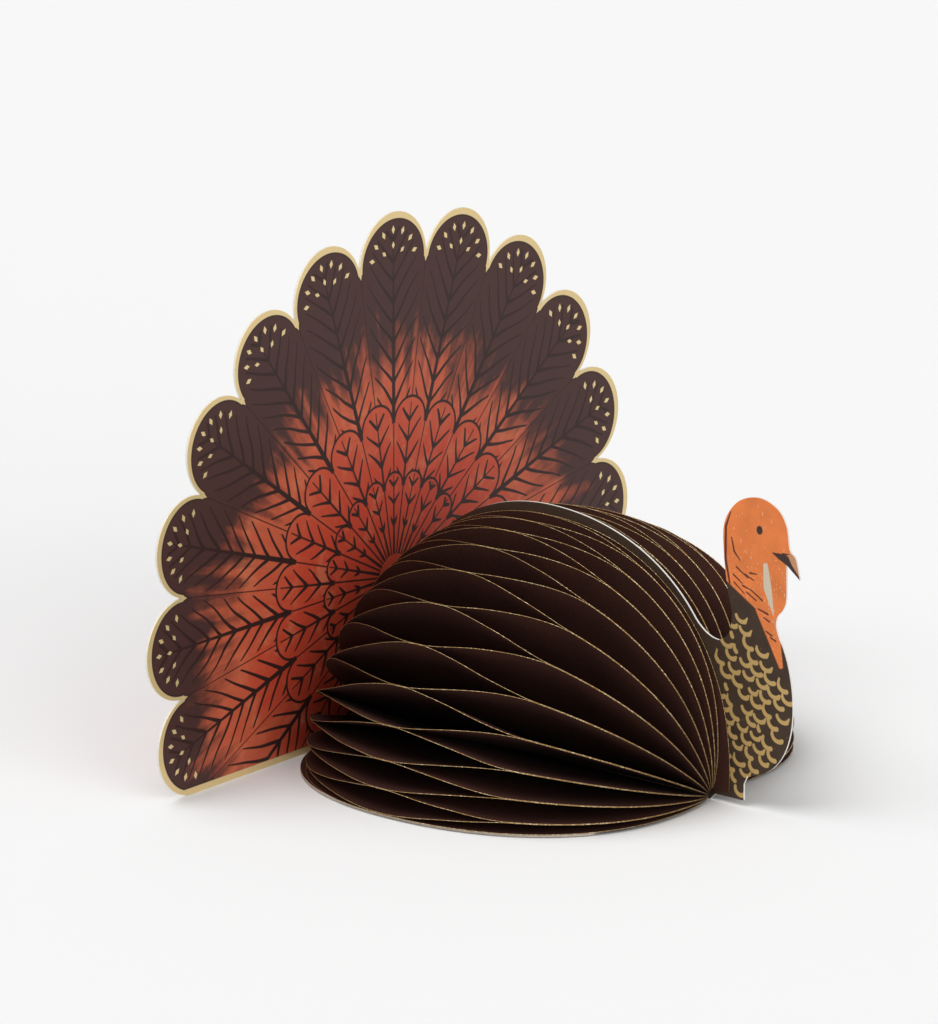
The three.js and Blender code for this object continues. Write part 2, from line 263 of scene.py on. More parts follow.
MATH = "ShaderNodeMath"
VECTOR = "ShaderNodeVectorMath"
RANGE = "ShaderNodeMapRange"
MIX = "ShaderNodeMix"  # inputs: 0 is the factor, 2 and 3 are numbers, 6 and 7 are colours
NOISE = "ShaderNodeTexNoise"
SEPARATE = "ShaderNodeSeparateXYZ"
COMBINE = "ShaderNodeCombineXYZ"
ROTATE = "ShaderNodeVectorRotate"
COORDINATES = "ShaderNodeTexCoord"
BUMP = "ShaderNodeBump"
SHADER = "ShaderNodeBsdfPrincipled"
OUTPUT = "ShaderNodeOutputMaterial"
COMPARE = "FunctionNodeCompare"
LOGIC = "FunctionNodeBooleanMath"
SET_POSITION = "GeometryNodeSetPosition"
JOIN = "GeometryNodeJoinGeometry"
MERGE = "GeometryNodeMergeByDistance"
SHADE = "GeometryNodeSetShadeSmooth"
STORE = "GeometryNodeStoreNamedAttribute"
READ = "GeometryNodeInputNamedAttribute"
SET_MATERIAL = "GeometryNodeSetMaterial"


def node(tree, kind, inputs=(), operation=None, **settings):
    """Adds one node with its settings. Inputs are values, sockets, nodes or lists, by place or by name."""
    made = tree.nodes.new(kind)
    if operation:
        made.operation = operation
    for name, value in settings.items():
        setattr(made, name, value)
    for key, value in inputs.items() if isinstance(inputs, dict) else enumerate(inputs):
        for item in value if isinstance(value, list) else [value]:
            if isinstance(item, bpy.types.Node):
                item = next(socket for socket in item.outputs if socket.enabled)
            if isinstance(item, bpy.types.NodeSocket):
                tree.links.new(item, made.inputs[key])
            else:
                made.inputs[key].default_value = item
    return made


def new_group(name, kind, inputs, output, output_type):
    """A node group with its sockets: the group, the function that adds a node to it, and its inputs."""
    tree = bpy.data.node_groups.new(name, kind)
    for socket_type, names in inputs.items():
        for socket in names:
            tree.interface.new_socket(socket, in_out="INPUT", socket_type=f"NodeSocket{socket_type}")
    tree.interface.new_socket(output, in_out="OUTPUT", socket_type=f"NodeSocket{output_type}")
    add = partial(node, tree)
    return tree, add, add("NodeGroupInput").outputs


# Honeycomb

LEAF_STEPS, LEAF_RINGS = 121, 6  # points along a leaf and across it
MERGE_DISTANCE = 0.002 * MM
AT_EDGE, AT_END = 0.001, 0.00001  # a point this near lies on the edge or end, as shares of width and length
MARKED = 0.99  # a point is on a cut edge when all that merged into it are
RIPPLE_LENGTH = 30 * MM
FULL_RIPPLE = 8  # brings the noise, at most a half, times the paper's freedom, at most a quarter, up to one
SPINE_PRESS = 0.1  # share of its thickness that a leaf keeps at the spine
BEAD_SIDES = 6


def stack_angle(sizes, place):
    """Angle of a glue line from the card, for its place in the stack: 0 is the card and 1 is the board."""
    return sizes.spread * place - sizes.crowding * math.sin(2 * math.pi * place)


def swell(share, fullness):
    """Rise of a leaf's curve above its waist, as a share of the greatest, at a share of the way to an end."""
    return max(0.0, 1 - abs(share) ** fullness) ** (1 / fullness)


def leaf_group():
    """Geometry nodes of one leaf: a thin sheet that twists about the spine, and a bead on its cut edge."""
    numbers = (
        "Side Own Next Glued Front Rear Radius Waist Fullness Root Paper Edge Glue Pressed "
        "Split Meet Part Close Ease Ripple Seed"
    ).split()
    inputs = {"Float": numbers, "Vector": ["Spine"]}
    tree, add, given = new_group("Honeycomb Leaf", "GeometryNodeTree", inputs, "Leaf", "Geometry")

    # Grid: x runs along the leaf and y from the inner to the outer edge
    steps = {"Size X": 1, "Size Y": 1, "Vertices X": LEAF_STEPS, "Vertices Y": LEAF_RINGS}
    grid = add("GeometryNodeMeshGrid", steps)
    place = add(SEPARATE, (add("GeometryNodeInputPosition"),)).outputs
    turn = add(MATH, (place["X"], math.pi), "MULTIPLY")
    share = add(MATH, (turn,), "SINE")
    across = add(MATH, (place["Y"], 0.5), "ADD")
    behind = add(MATH, (share, 0), "MAXIMUM")
    ahead = add(MATH, (share, 0), "MINIMUM")
    ahead = add(MATH, (ahead, given["Front"]), "MULTIPLY")
    station = add(MATH, (behind, given["Rear"], ahead), "MULTIPLY_ADD")

    # Outline: reach of the outer and inner edge from the spine
    length = add(MATH, (share,), "ABSOLUTE")
    power = add(MATH, (length, given["Fullness"]), "POWER")
    rest = add(MATH, (1, power), "SUBTRACT", use_clamp=True)
    inverse = add(MATH, (1, given["Fullness"]), "DIVIDE")
    rise = add(MATH, (rest, inverse), "POWER")
    tall = add(MATH, (given["Radius"], given["Waist"]), "SUBTRACT")
    half = add(MATH, (rise, tall), "MULTIPLY")
    outer = add(MATH, (given["Waist"], half), "ADD")
    low = add(MATH, (given["Waist"], half), "SUBTRACT")
    inner = add(MATH, (low, given["Root"]), "MAXIMUM")
    reach = add(MIX, {0: across, 2: inner, 3: outer})

    # Opening: 0 in its own pair, 1 where it is glued to the next
    opens = add(RANGE, (station, given["Split"], given["Meet"], 0, 1))
    closes = add(RANGE, (station, given["Close"], given["Part"], 0, 1))
    ramp = add(MATH, (opens, closes), "MINIMUM")
    eased = add(RANGE, (ramp, 0, 1, 0, 1), interpolation_type="SMOOTHSTEP")
    opening = add(MIX, {0: given["Ease"], 2: ramp, 3: eased})

    # Angle about the spine, with a slight ripple where the paper is free
    shut = add(MATH, (1, opening), "SUBTRACT")
    free = add(MATH, (opening, shut), "MULTIPLY")
    spot = add(COMBINE, (station, reach, given["Seed"]))
    wave = add(NOISE, {"Vector": spot, "Scale": 1 / RIPPLE_LENGTH, "Detail": 1.0})
    wave = add(MATH, (wave, 0.5), "SUBTRACT")
    wave = add(MATH, (wave, free), "MULTIPLY")
    lean = add(MIX, {0: opening, 2: given["Own"], 3: given["Next"]})
    ripple = add(MATH, (given["Ripple"], FULL_RIPPLE), "MULTIPLY")
    lean = add(MATH, (wave, ripple, lean), "MULTIPLY_ADD")
    sine = add(MATH, (lean,), "SINE")
    cosine = add(MATH, (lean,), "COSINE")

    # Place of the sheet's middle and its normal, in the plane across the spine
    press = add(RANGE, (reach, 0, given["Pressed"], SPINE_PRESS, 1))
    stack = add(MATH, (given["Edge"], given["Glue"]), "ADD")
    beside = add(MATH, (opening, -2, 1), "MULTIPLY_ADD")
    for factor in (given["Glued"], stack, press, 0.5):
        beside = add(MATH, (beside, factor), "MULTIPLY")
    out = add(MATH, (given["Side"], sine), "MULTIPLY")
    away = add(MATH, (given["Side"], cosine), "MULTIPLY")
    down = add(MATH, (sine, -1), "MULTIPLY")
    normal = add(COMBINE, (away, 0, down))
    outward = add(VECTOR, {0: add(COMBINE, (out, 0, cosine)), "Scale": reach}, "SCALE")
    sideways = add(VECTOR, {0: normal, "Scale": beside}, "SCALE")
    middle = given["Spine"]
    for move in (add(COMBINE, (0, station, 0)), outward, sideways):
        middle = add(VECTOR, (middle, move), "ADD")

    # Two faces that meet along both edges and at the ends
    at_outer = add(COMPARE, (across, 1 - AT_EDGE), "GREATER_THAN")
    at_inner = add(COMPARE, (across, AT_EDGE), "LESS_THAN")
    thick = add(LOGIC, (at_outer, at_inner), "NOR")
    for factor in (given["Paper"], press, 0.5):
        thick = add(MATH, (thick, factor), "MULTIPLY")
    lift = add(VECTOR, {0: normal, "Scale": thick}, "SCALE")
    faces = []
    for way, turned in (("ADD", "LESS_THAN"), ("SUBTRACT", "GREATER_THAN")):
        face = add(SET_POSITION, {"Geometry": grid, "Position": add(VECTOR, (middle, lift), way)})
        faces.append(add("GeometryNodeFlipFaces", (face, add(COMPARE, (given["Side"], 0), turned))))
    sheet = add(MERGE, {"Geometry": add(JOIN, (faces,)), "Distance": MERGE_DISTANCE})
    sheet = add(SHADE, {"Geometry": sheet, "Shade Smooth": False})

    # Bead on every cut edge: the outer edge, and the inner one where it leaves the spine
    leaves = add(COMPARE, (low, given["Root"]), "GREATER_THAN")
    at_end = add(COMPARE, (length, 1 - AT_END), "GREATER_THAN")
    cut = add(LOGIC, (at_inner, leaves), "AND")
    for other in (at_outer, at_end):
        cut = add(LOGIC, (cut, other), "OR")
    rim = grid
    for name, value in {"cut_edge": cut, "press": press}.items():
        rim = add(STORE, {"Geometry": rim, "Name": name, "Value": value})
    rim = add(SET_POSITION, {"Geometry": rim, "Position": middle})
    rim = add(MERGE, {"Geometry": rim, "Distance": MERGE_DISTANCE})
    chosen = add(COMPARE, (add(READ, {"Name": "cut_edge"}), MARKED), "GREATER_THAN")
    rim = add("GeometryNodeMeshToCurve", {"Mesh": rim, "Selection": chosen})
    profile = {"Resolution": BEAD_SIDES, "Radius": add(MATH, (given["Edge"], 0.5), "MULTIPLY")}
    profile = add("GeometryNodeCurvePrimitiveCircle", profile, mode="RADIUS")
    bead = {"Curve": rim, "Profile Curve": profile, "Scale": add(READ, {"Name": "press"}), "Fill Caps": True}
    bead = add("GeometryNodeCurveToMesh", bead)
    bead = add(SHADE, {"Geometry": bead, "Shade Smooth": True})
    gold = {"Geometry": bead, "Name": "gold", "Value": True}
    bead = add(STORE, gold, data_type="BOOLEAN", domain="FACE")
    add("NodeGroupOutput", (add(JOIN, ([sheet, bead],)),))
    return tree


def pair_group():
    """Geometry nodes of one glued pair: two leaves, or one of them for an end leaf, with their materials."""
    leaf = leaf_group()
    names = [item.name for item in leaf.interface.items_tree if item.in_out == "INPUT"]
    shared = [name for name in names if name not in ("Next", "Glued", "Spine")]
    inputs = {
        "Float": ["Upper Next", "Lower Next"] + shared,
        "Vector": ["Spine"],
        "Bool": ["Upper Leaf", "Lower Leaf"],
        "Material": ["Paper Finish", "Edge Finish"],
    }
    tree, add, given = new_group("Honeycomb Pair", "GeometryNodeTree", inputs, "Geometry", "Geometry")
    kept = []
    for which, glued in (("Upper", -1), ("Lower", 1)):
        values = {name: given[name] for name in shared}
        values |= {"Next": given[f"{which} Next"], "Glued": glued, "Spine": given["Spine"]}
        values["Seed"] = add(MATH, (given["Seed"], glued / 3), "ADD")
        made = add("GeometryNodeGroup", values, node_tree=leaf)
        choice = {"Switch": given[f"{which} Leaf"], "True": made}
        kept.append(add("GeometryNodeSwitch", choice, input_type="GEOMETRY"))
    made = add("GeometryNodeRealizeInstances", (add(JOIN, (kept,)),))
    made = add(SET_MATERIAL, {"Geometry": made, "Material": given["Paper Finish"]})
    gold = add(READ, {"Name": "gold"}, data_type="BOOLEAN")
    made = add(SET_MATERIAL, {"Geometry": made, "Selection": gold, "Material": given["Edge Finish"]})
    add("NodeGroupOutput", (made,))
    return tree


def made_by_nodes(tree, values):
    """The mesh that a geometry node tree makes from these named inputs."""
    carrier = bpy.data.objects.new("carrier", bpy.data.meshes.new("carrier"))
    bpy.context.scene.collection.objects.link(carrier)
    modifier = carrier.modifiers.new("Nodes", "NODES")
    modifier.node_group = tree
    sockets = {item.name: item.identifier for item in tree.interface.items_tree if item.in_out == "INPUT"}
    for name, value in values.items():
        modifier[sockets[name]] = value
    depsgraph = bpy.context.evaluated_depsgraph_get()
    mesh = bpy.data.meshes.new_from_object(carrier.evaluated_get(depsgraph), depsgraph=depsgraph)
    carrier.modifiers.remove(modifier)
    bpy.data.objects.remove(carrier)
    for name in ("cut_edge", "press", "gold"):
        if name in mesh.attributes:
            mesh.attributes.remove(mesh.attributes[name])
    return mesh


def add_piece(name, mesh, body, replaced):
    """A finished piece that rides on a body and stands for CAD nodes."""
    if not mesh.polygons:
        raise RuntimeError(f"{name} came out empty")
    piece = bpy.data.objects.new(name, mesh)
    bpy.context.scene.collection.objects.link(piece)
    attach(piece, body)
    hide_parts(*replaced)
    return piece


class TURKEY_OT_honeycomb(bpy.types.Operator):
    """Make the paper leaves of both sides, pair by pair, and the end leaves on card and board"""

    bl_idname = "turkey.honeycomb"
    bl_label = "Honeycomb"

    def execute(self, context):
        sizes, colours = context.scene.turkey_honeycomb, context.scene.turkey_colours
        tree = pair_group()
        names = "Front Rear Radius Waist Fullness Root Paper Edge Glue Pressed Ease Ripple".split()
        shared = {name: getattr(sizes, name.lower()) for name in names}
        shared |= {
            "Split": sizes.front_split, "Meet": sizes.middle, "Part": sizes.middle + sizes.middle_length,
            "Close": sizes.rear_split, "Paper Finish": leaf_paper(colours), "Edge Finish": edge_gold(colours),
        }
        for side_name, side in SIDES.items():
            spine = SPINES[side_name]
            shared |= {"Side": float(side), "Spine": spine}
            lag = sizes.left_lag if side_name == "left" else 0
            for pair in range(sizes.pairs):
                own = stack_angle(sizes, (pair + 0.5) / sizes.pairs)
                values = shared | {
                    "Own": own,
                    "Upper Next": stack_angle(sizes, pair / sizes.pairs),
                    "Lower Next": stack_angle(sizes, (pair + 1) / sizes.pairs),
                    "Upper Leaf": True, "Lower Leaf": True, "Seed": float(side * (pair + 1)),
                    "Front": sizes.front - lag * (own / sizes.spread) ** 2,
                }
                name = f"{side_name}_pair_{pair + 1:02d}"
                nodes = [f"{side_name}_leaf_{leaf:02d}" for leaf in (2 * pair + 1, 2 * pair + 2)]
                mesh = made_by_nodes(tree, values)
                piece = add_piece(f"{name}_leaves", mesh, name, nodes)
                flat = Vector((side * math.cos(own), 0, -math.sin(own)))
                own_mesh(piece)
            # An end leaf lies flat, as if it met the next pair from far ahead of it to far behind, in metres
            flat = {"Split": -1.0, "Meet": -0.9, "Part": 0.9, "Close": 1.0, "Glue": sizes.end_glue}
            strip = {"Front": sizes.end_front, "Waist": sizes.end_waist}
            ends = {
                "card": (0.0, "Lower Leaf", "card", strip),
                "board": (1.0, "Upper Leaf", f"{side_name}_base", {"Front": sizes.front - lag}),
            }
            for end, (place, leaf, body, cut) in ends.items():
                lean = stack_angle(sizes, place)
                values = shared | flat | cut | {leaf: True}
                values |= {"Own": lean, "Upper Next": lean, "Lower Next": lean}
                nodes = [f"{side_name}_{end}_leaf"]
                mesh = made_by_nodes(tree, values)
                add_piece(f"{side_name}_{end}_end_leaf", mesh, body, nodes)
        return {"FINISHED"}


# Die-cut card and board

CORNER_STEPS, BACK_STEPS, HEAD_STEPS, CHEST_STEPS = 8, 90, 10, 30  # points on stretches of an outline
BOARD_STEPS, LOBE_STEPS = 80, 28
FACES_UP = 0.9  # the least rise of the normal of a face that looks up


def die_cut(outline, levels, place, finishes):
    """A flat card: a counter-clockwise outline of (across, up) points, with a ring for each (inset, level).

    Faces and pressed edges take the first finish and upright cut walls the second.
    """
    points = len(outline)
    inward = []
    for i, here in enumerate(outline):
        before = (here - outline[i - 1]).normalized()
        after = (outline[(i + 1) % points] - here).normalized()
        inward.append(Vector((-before.y - after.y, before.x + after.x)).normalized())
    made = bmesh.new()
    rings = []
    for inset, level in levels:
        ring = [here + way * inset for here, way in zip(outline, inward)]
        rings.append([made.verts.new(place(p.x, p.y, level)) for p in ring])
    made.faces.new(list(reversed(rings[0])))
    made.faces.new(rings[-1])
    for ring, (near, far) in enumerate(zip(rings, rings[1:])):
        upright = levels[ring][0] == levels[ring + 1][0]
        for i in range(points):
            j = (i + 1) % points
            wall = made.faces.new((near[i], near[j], far[j], far[i]))
            wall.material_index = 1 if upright else 0
    made.normal_update()
    bmesh.ops.triangulate(made, faces=[face for face in made.faces if len(face.verts) > 4])
    bmesh.ops.recalc_face_normals(made, faces=made.faces)
    mesh = bpy.data.meshes.new("die_cut")
    made.to_mesh(mesh)
    made.free()
    for finish in finishes:
        mesh.materials.append(finish)
    return mesh


def pressed(low, high, chamfer):
    """Rings of a card between two levels whose edges the die presses over by a chamfer."""
    return (chamfer, low), (0, low + chamfer), (0, high - chamfer), (chamfer, high)


def bezier(points, steps):
    """Points on a Bezier curve of any order, without its start."""
    found = []
    for step in range(1, steps + 1):
        level = list(points)
        while len(level) > 1:
            level = [a.lerp(b, step / steps) for a, b in zip(level, level[1:])]
        found.append(level[0])
    return found


def spline(points, steps):
    """Points on a smooth curve through all the points, without its start."""
    found = []
    for i in range(len(points) - 1):
        a, b = points[max(i - 1, 0)], points[i]
        c, d = points[i + 1], points[min(i + 2, len(points) - 1)]
        for step in range(1, steps + 1):
            t = step / steps
            bend = (c - a) * t + (2 * a - 5 * b + 4 * c - d) * t**2 + (3 * b - a - 3 * c + d) * t**3
            found.append(b + bend / 2)
    return found


def leaf_top(leaves, station):
    """Height of the leaves' outline above the spine at a station."""
    share = station / (leaves.front if station < 0 else leaves.rear)
    return leaves.waist + (leaves.radius - leaves.waist) * swell(share, leaves.fullness)


def back_height(card, leaves, station):
    """Height of the card's back, which stands most proud of the leaves at their tallest point."""
    share = abs(station / (leaves.front if station < 0 else leaves.rear)) ** card.back_taper
    end = card.front_proud if station < 0 else card.rear_proud
    return leaf_top(leaves, station) + card.proud + (end - card.proud) * share


def card_outline(card, leaves):
    """Outline of the centre card from the side, as stations and heights."""
    fan_front, fan_back = FAN_FRONT - STATION_ZERO, FAN_BACK - STATION_ZERO
    tail_end = fan_back + card.tail_reach
    head_back = -leaves.front
    shoulder = head_back + card.shoulder_setback
    notch_floor = back_height(card, leaves, shoulder) - card.notch_depth
    lap_top = card.lap_height + card.lap_cover
    slot_front, slot_back = fan_front - card.clearance, fan_back + card.clearance
    heel = head_back - card.heel_setback

    def head(forward, up):
        return Vector((head_back - forward * card.head_length, notch_floor + up * card.head_rise))

    # Heel, which steps down to the table under the leaves, lower edge and the tail with its slot for the fan
    lift, tail_top = card.heel_lift, lap_top - card.tail_round
    rest = head_back + 2 * lift
    points = [Vector((heel, lift)), Vector((rest - lift, lift)), Vector((rest, 0))]
    points.append(Vector((tail_end - card.tail_round, 0)))
    points += bezier([points[-1], Vector((tail_end, 0)), Vector((tail_end, card.tail_round))], CORNER_STEPS)
    points.append(Vector((tail_end, tail_top - card.tail_round)))
    points += bezier([points[-1], Vector((tail_end, tail_top)), Vector((slot_back, tail_top))], CORNER_STEPS)
    points += [Vector((slot_back, card.lap_height)), Vector((slot_front, card.lap_height))]
    points.append(Vector((slot_front, lap_top)))

    # Back, as one arc over the leaves, down to the notch behind the neck
    rear_turn = math.acos((leaves.rear - card.proud) / leaves.rear)
    front_turn = math.acos(shoulder / leaves.front)
    for step in range(BACK_STEPS + 1):
        turn = rear_turn + (front_turn - rear_turn) * step / BACK_STEPS
        station = math.cos(turn) * (leaves.rear if turn < math.pi / 2 else leaves.front)
        points.append(Vector((station, back_height(card, leaves, station))))
    notch = Vector((shoulder - card.notch_width / 2, notch_floor))
    points += bezier([points[-1], Vector(((shoulder + notch.x) / 2, notch_floor)), notch], CORNER_STEPS)

    # Neck, head, beak and wattle, in shares of the head's length and rise
    beak_tip = Vector((head_back - card.head_length - card.beak_reach, head(1, 0.515).y))
    neck = [head(0.1, 0.055), head(0.15, 0.2), head(0.08, 0.36), head(0.025, 0.58), head(0.03, 0.79)]
    crown = [head(0.23, 0.945), head(0.54, 1), head(0.81, 0.957), head(0.955, 0.856), head(1.01, 0.7)]
    points += spline([points[-1]] + neck + crown + [head(1.1, 0.65), beak_tip], HEAD_STEPS)
    chest_top = head(0.87, 0.09)
    points.append(head(0.96, 0.6))
    throat = [head(0.967, 0.38), head(0.925, 0.3), head(0.835, 0.24), head(0.815, 0.175), chest_top]
    points += spline([points[-1]] + throat, HEAD_STEPS)

    # Chest, back under the body to the heel, with the two pulls of its curve in fifths of its height
    chest_end = Vector((heel - card.heel_step, card.chest_foot))
    fifth = (chest_top.y - card.chest_foot) / 5
    pull_top = Vector((chest_top.x - fifth / 1.5, chest_top.y - fifth))
    pull_foot = Vector((chest_end.x - card.chest_swell, card.chest_foot + fifth / 2.4))
    points += bezier([chest_top, pull_top, pull_foot, chest_end], CHEST_STEPS)
    points.append(Vector((heel, card.chest_foot - 2 * card.heel_step)))
    return points


class TURKEY_OT_centre_card(bpy.types.Operator):
    """Make the printed card of the middle plane, with back, neck, head, chest and tail"""

    bl_idname = "turkey.centre_card"
    bl_label = "Centre Card"

    def execute(self, context):
        scene = context.scene
        card, colours = scene.turkey_card, scene.turkey_colours
        outline = card_outline(card, scene.turkey_honeycomb)
        finishes = [breast_print(card, colours), card_core(colours)]

        def place(station, height, level):
            return (level, station + STATION_ZERO, height)

        mesh = die_cut(outline, pressed(CARD_RIGHT, CARD_LEFT, card.chamfer), place, finishes)
        add_piece("printed_centre_card", mesh, "card", ["centre_card"])
        return {"FINISHED"}


class TURKEY_OT_base_boards(bpy.types.Operator):
    """Make the grey board under each half"""

    bl_idname = "turkey.base_boards"
    bl_label = "Base Boards"

    def execute(self, context):
        scene = context.scene
        board, leaves, colours = scene.turkey_board, scene.turkey_honeycomb, scene.turkey_colours
        finishes = [leaf_paper(colours), grey_board(colours)]
        foot = (board.lip_depth, 0.0), (board.lip_depth, board.lip)
        levels = foot + pressed(board.lip, board.top, scene.turkey_card.chamfer)
        for side_name, side in SIDES.items():
            spine = SPINES[side_name]
            lag = leaves.left_lag if side_name == "left" else 0
            front_cut, rear_cut = leaves.front - lag - board.front_setback, leaves.rear - board.rear_setback
            front_end, rear_end = front_cut + board.front_overrun, rear_cut + board.rear_overrun
            outline = [Vector((board.hinge_gap, -front_cut))]
            for step in range(BOARD_STEPS + 1):
                station = -front_cut + (front_cut + rear_cut) * step / BOARD_STEPS
                share = station / (front_end if station < 0 else rear_end)
                half = (leaves.radius - board.inset - leaves.waist) * swell(share, leaves.fullness)
                outline.append(Vector((leaves.waist + half, station)))
            outline.append(Vector((board.hinge_gap, rear_cut)))

            def place(out, station, level):
                return (spine.x + side * out, station + STATION_ZERO, level)

            mesh = die_cut(outline, levels, place, finishes)
            for face in mesh.polygons:
                if face.normal.z < FACES_UP:
                    face.material_index = 1
            nodes = [f"{side_name}_base_board"]
            add_piece(f"{side_name}_board", mesh, f"{side_name}_base", nodes)
        return {"FINISHED"}


def fan_circles(fan):
    """Radius of a lobe, radius of the circle of lobe centres, and height of the fan's centre."""
    lobe_radius = fan.notch_radius * math.sin(fan.pitch / 2)
    lobe_circle = fan.notch_radius * math.cos(fan.pitch / 2)
    lowest = (fan.lobes - 1) / 2 * fan.pitch
    return lobe_radius, lobe_circle, lobe_radius - lobe_circle * math.cos(lowest)


class TURKEY_OT_tail_fan(bpy.types.Operator):
    """Make the printed tail fan with its round lobes and the slot over the card's tail"""

    bl_idname = "turkey.tail_fan"
    bl_label = "Tail Fan"

    def execute(self, context):
        scene = context.scene
        fan, card, colours = scene.turkey_fan, scene.turkey_card, scene.turkey_colours
        lobe_radius, lobe_circle, centre = fan_circles(fan)
        lowest = (fan.lobes - 1) / 2 * fan.pitch
        half = (CARD_LEFT - CARD_RIGHT) / 2 + card.clearance
        slot_top = card.lap_height + card.clearance
        outline = [Vector(point) for point in ((-half, 0), (-half, slot_top), (half, slot_top), (half, 0))]
        for lobe in range(fan.lobes):
            lean = lowest - lobe * fan.pitch
            start = -math.pi / 2 if lobe == 0 else -lean
            end = 1.5 * math.pi if lobe == fan.lobes - 1 else math.pi - lean
            middle = Vector((math.sin(lean), math.cos(lean))) * lobe_circle + Vector((0, centre))
            for step in range(0 if lobe == 0 else 1, LOBE_STEPS + 1):
                turn = start + (end - start) * step / LOBE_STEPS
                outline.append(middle + Vector((math.cos(turn), math.sin(turn))) * lobe_radius)
        finishes = [fan_print(fan, colours), card_core(colours)]

        def place(across, height, level):
            return (across, level, height)

        mesh = die_cut(outline, pressed(FAN_FRONT, FAN_BACK, card.chamfer), place, finishes)
        add_piece("printed_tail_fan", mesh, "tail", ["tail_fan"])
        return {"FINISHED"}


# Finishes


def new_finish(name):
    """An empty material and the function that adds a node to it."""
    finish = bpy.data.materials.new(name)
    finish.use_nodes = True
    finish.node_tree.nodes.clear()
    return finish, partial(node, finish.node_tree)


def leaf_paper(colours):
    # Dyed uncoated paper: deep matt brown, with paler fibres a few tenths of a millimetre wide, drawn twice
    # as coarse so that they show, and slow clouds from the dye bath.
    name = "Dyed uncoated paper"
    if name in bpy.data.materials:
        return bpy.data.materials[name]
    finish, add = new_finish(name)
    where = add(COORDINATES).outputs["Object"]
    fibre = add(NOISE, {"Vector": where, "Scale": 1 / (0.7 * MM), "Detail": 3.0})
    cloud = add(NOISE, {"Vector": where, "Scale": 1 / (28 * MM), "Detail": 2.0})
    pale = add(RANGE, (fibre, 0.5, 0.8, 0, 0.55))
    shade = add(RANGE, (cloud, 0.3, 0.7, 0, 0.35))
    mixed = add(MATH, (pale, shade), "ADD", use_clamp=True)
    tone = add(MIX, {0: mixed, 6: colours.leaf, 7: colours.leaf_grain}, data_type="RGBA")
    bump = add(BUMP, {"Height": fibre, "Strength": 0.25, "Distance": 0.05 * MM})
    paper = {"Base Color": tone, "Roughness": 0.88, "Specular IOR Level": 0.22, "Normal": bump}
    add(OUTPUT, (add(SHADER, paper),))
    return finish


def edge_gold(colours):
    # Bronze powder on a cut paper edge: a fine metallic line that breaks up into bright and worn specks.
    finish, add = new_finish("Bronze powder edge")
    speck = add(NOISE, {"Vector": add(COORDINATES).outputs["Object"], "Scale": 1 / (0.5 * MM), "Detail": 2.0})
    powder = add(RANGE, (speck, 0.5, 0.66, 0, 1))
    tone = add(MIX, {0: powder, 6: colours.edge_worn, 7: colours.edge_gold}, data_type="RGBA")
    rough = add(RANGE, (powder, 0, 1, 0.6, 0.34))
    add(OUTPUT, (add(SHADER, {"Base Color": tone, "Metallic": 1.0, "Roughness": rough}),))
    return finish


def card_core(colours):
    # Bleached pulp core of a cut card edge: white, matt, with faint layers of fibre along the cut.
    name = "Bleached card core"
    if name in bpy.data.materials:
        return bpy.data.materials[name]
    finish, add = new_finish(name)
    fibre = add(NOISE, {"Vector": add(COORDINATES).outputs["Object"], "Scale": 1 / (0.5 * MM), "Detail": 3.0})
    level = add(RANGE, (fibre, 0.35, 0.65, 0.86, 1.0))
    tone = add(VECTOR, {0: colours.core[:3], "Scale": level}, "SCALE")
    add(OUTPUT, (add(SHADER, {"Base Color": tone, "Roughness": 0.9, "Specular IOR Level": 0.25}),))
    return finish


def grey_board(colours):
    # Recycled grey board: pale warm grey, rough, with dark and light flecks of old fibre.
    finish, add = new_finish("Recycled grey board")
    fleck = add(NOISE, {"Vector": add(COORDINATES).outputs["Object"], "Scale": 1 / (0.8 * MM), "Detail": 4.0})
    level = add(RANGE, (fleck, 0.3, 0.7, 0.74, 1.08))
    tone = add(VECTOR, {0: colours.board[:3], "Scale": level}, "SCALE")
    bump = add(BUMP, {"Height": fleck, "Strength": 0.1, "Distance": 0.08 * MM})
    board = {"Base Color": tone, "Roughness": 0.92, "Specular IOR Level": 0.2, "Normal": bump}
    add(OUTPUT, (add(SHADER, board),))
    return finish


def flat_place(add, origin, kept):
    """Place on a flat print in mm from an origin, with only two axes kept."""
    place = {"Vector": add(COORDINATES).outputs["Object"], "Location": origin, "Scale": (PER_METRE,) * 3}
    return add(VECTOR, (add("ShaderNodeMapping", place), kept), "MULTIPLY")


def overprint(add, below, ink, source, span, cover=(0, 1), **blend):
    """An ink laid over a print. Its cover goes through two values while the source goes through a span."""
    laid = add(RANGE, (source, *span, *cover), **blend)
    return add(MIX, {0: laid, 6: below, 7: ink}, data_type="RGBA")


# Print of the centre card. Sizes are in mm and angles in radians.

CLOUD, GRAIN = 9, 0.8  # sizes of the unevenness
INK_EDGE = (-0.12, 0.12)  # an ink comes in between these depths inside its shape
SOFT_EDGE = (-0.25, 0.25)
BEAK_EDGE = (-0.3, 0.3)
ROW_SLANT = 0.3  # the rows of gold scales fall towards the front
ARC_RADIUS = (2.2, 3)  # least and greatest
ARC_SPAN = (0.2, 1.1)  # half the turn of the shortest arc and of a full one
SHORT_ARCS = 0.2  # share of the arcs that are cut short
ARC_WIDTH = (0.38, 0.56)  # half the width where the brush starts and ends, as a share of the stroke's
ARC_TILT = (math.pi - 0.9, math.pi + 0.2)  # about half a turn, so that an arc opens upwards
ARC_NUDGE = (0, 0.8, 1)  # span of its chance move in its cell
ARC_CENTRE = (0, -0.5, 1.2)  # from the middle of its cell
SHARPEN = 100  # makes a scale whole or leaves it out
COLLAR = (-74.84, 76.4, 0.6)  # where the orange begins at the nape, and its slope along the neck
NAPE = -72.6  # the orange lies ahead of this station
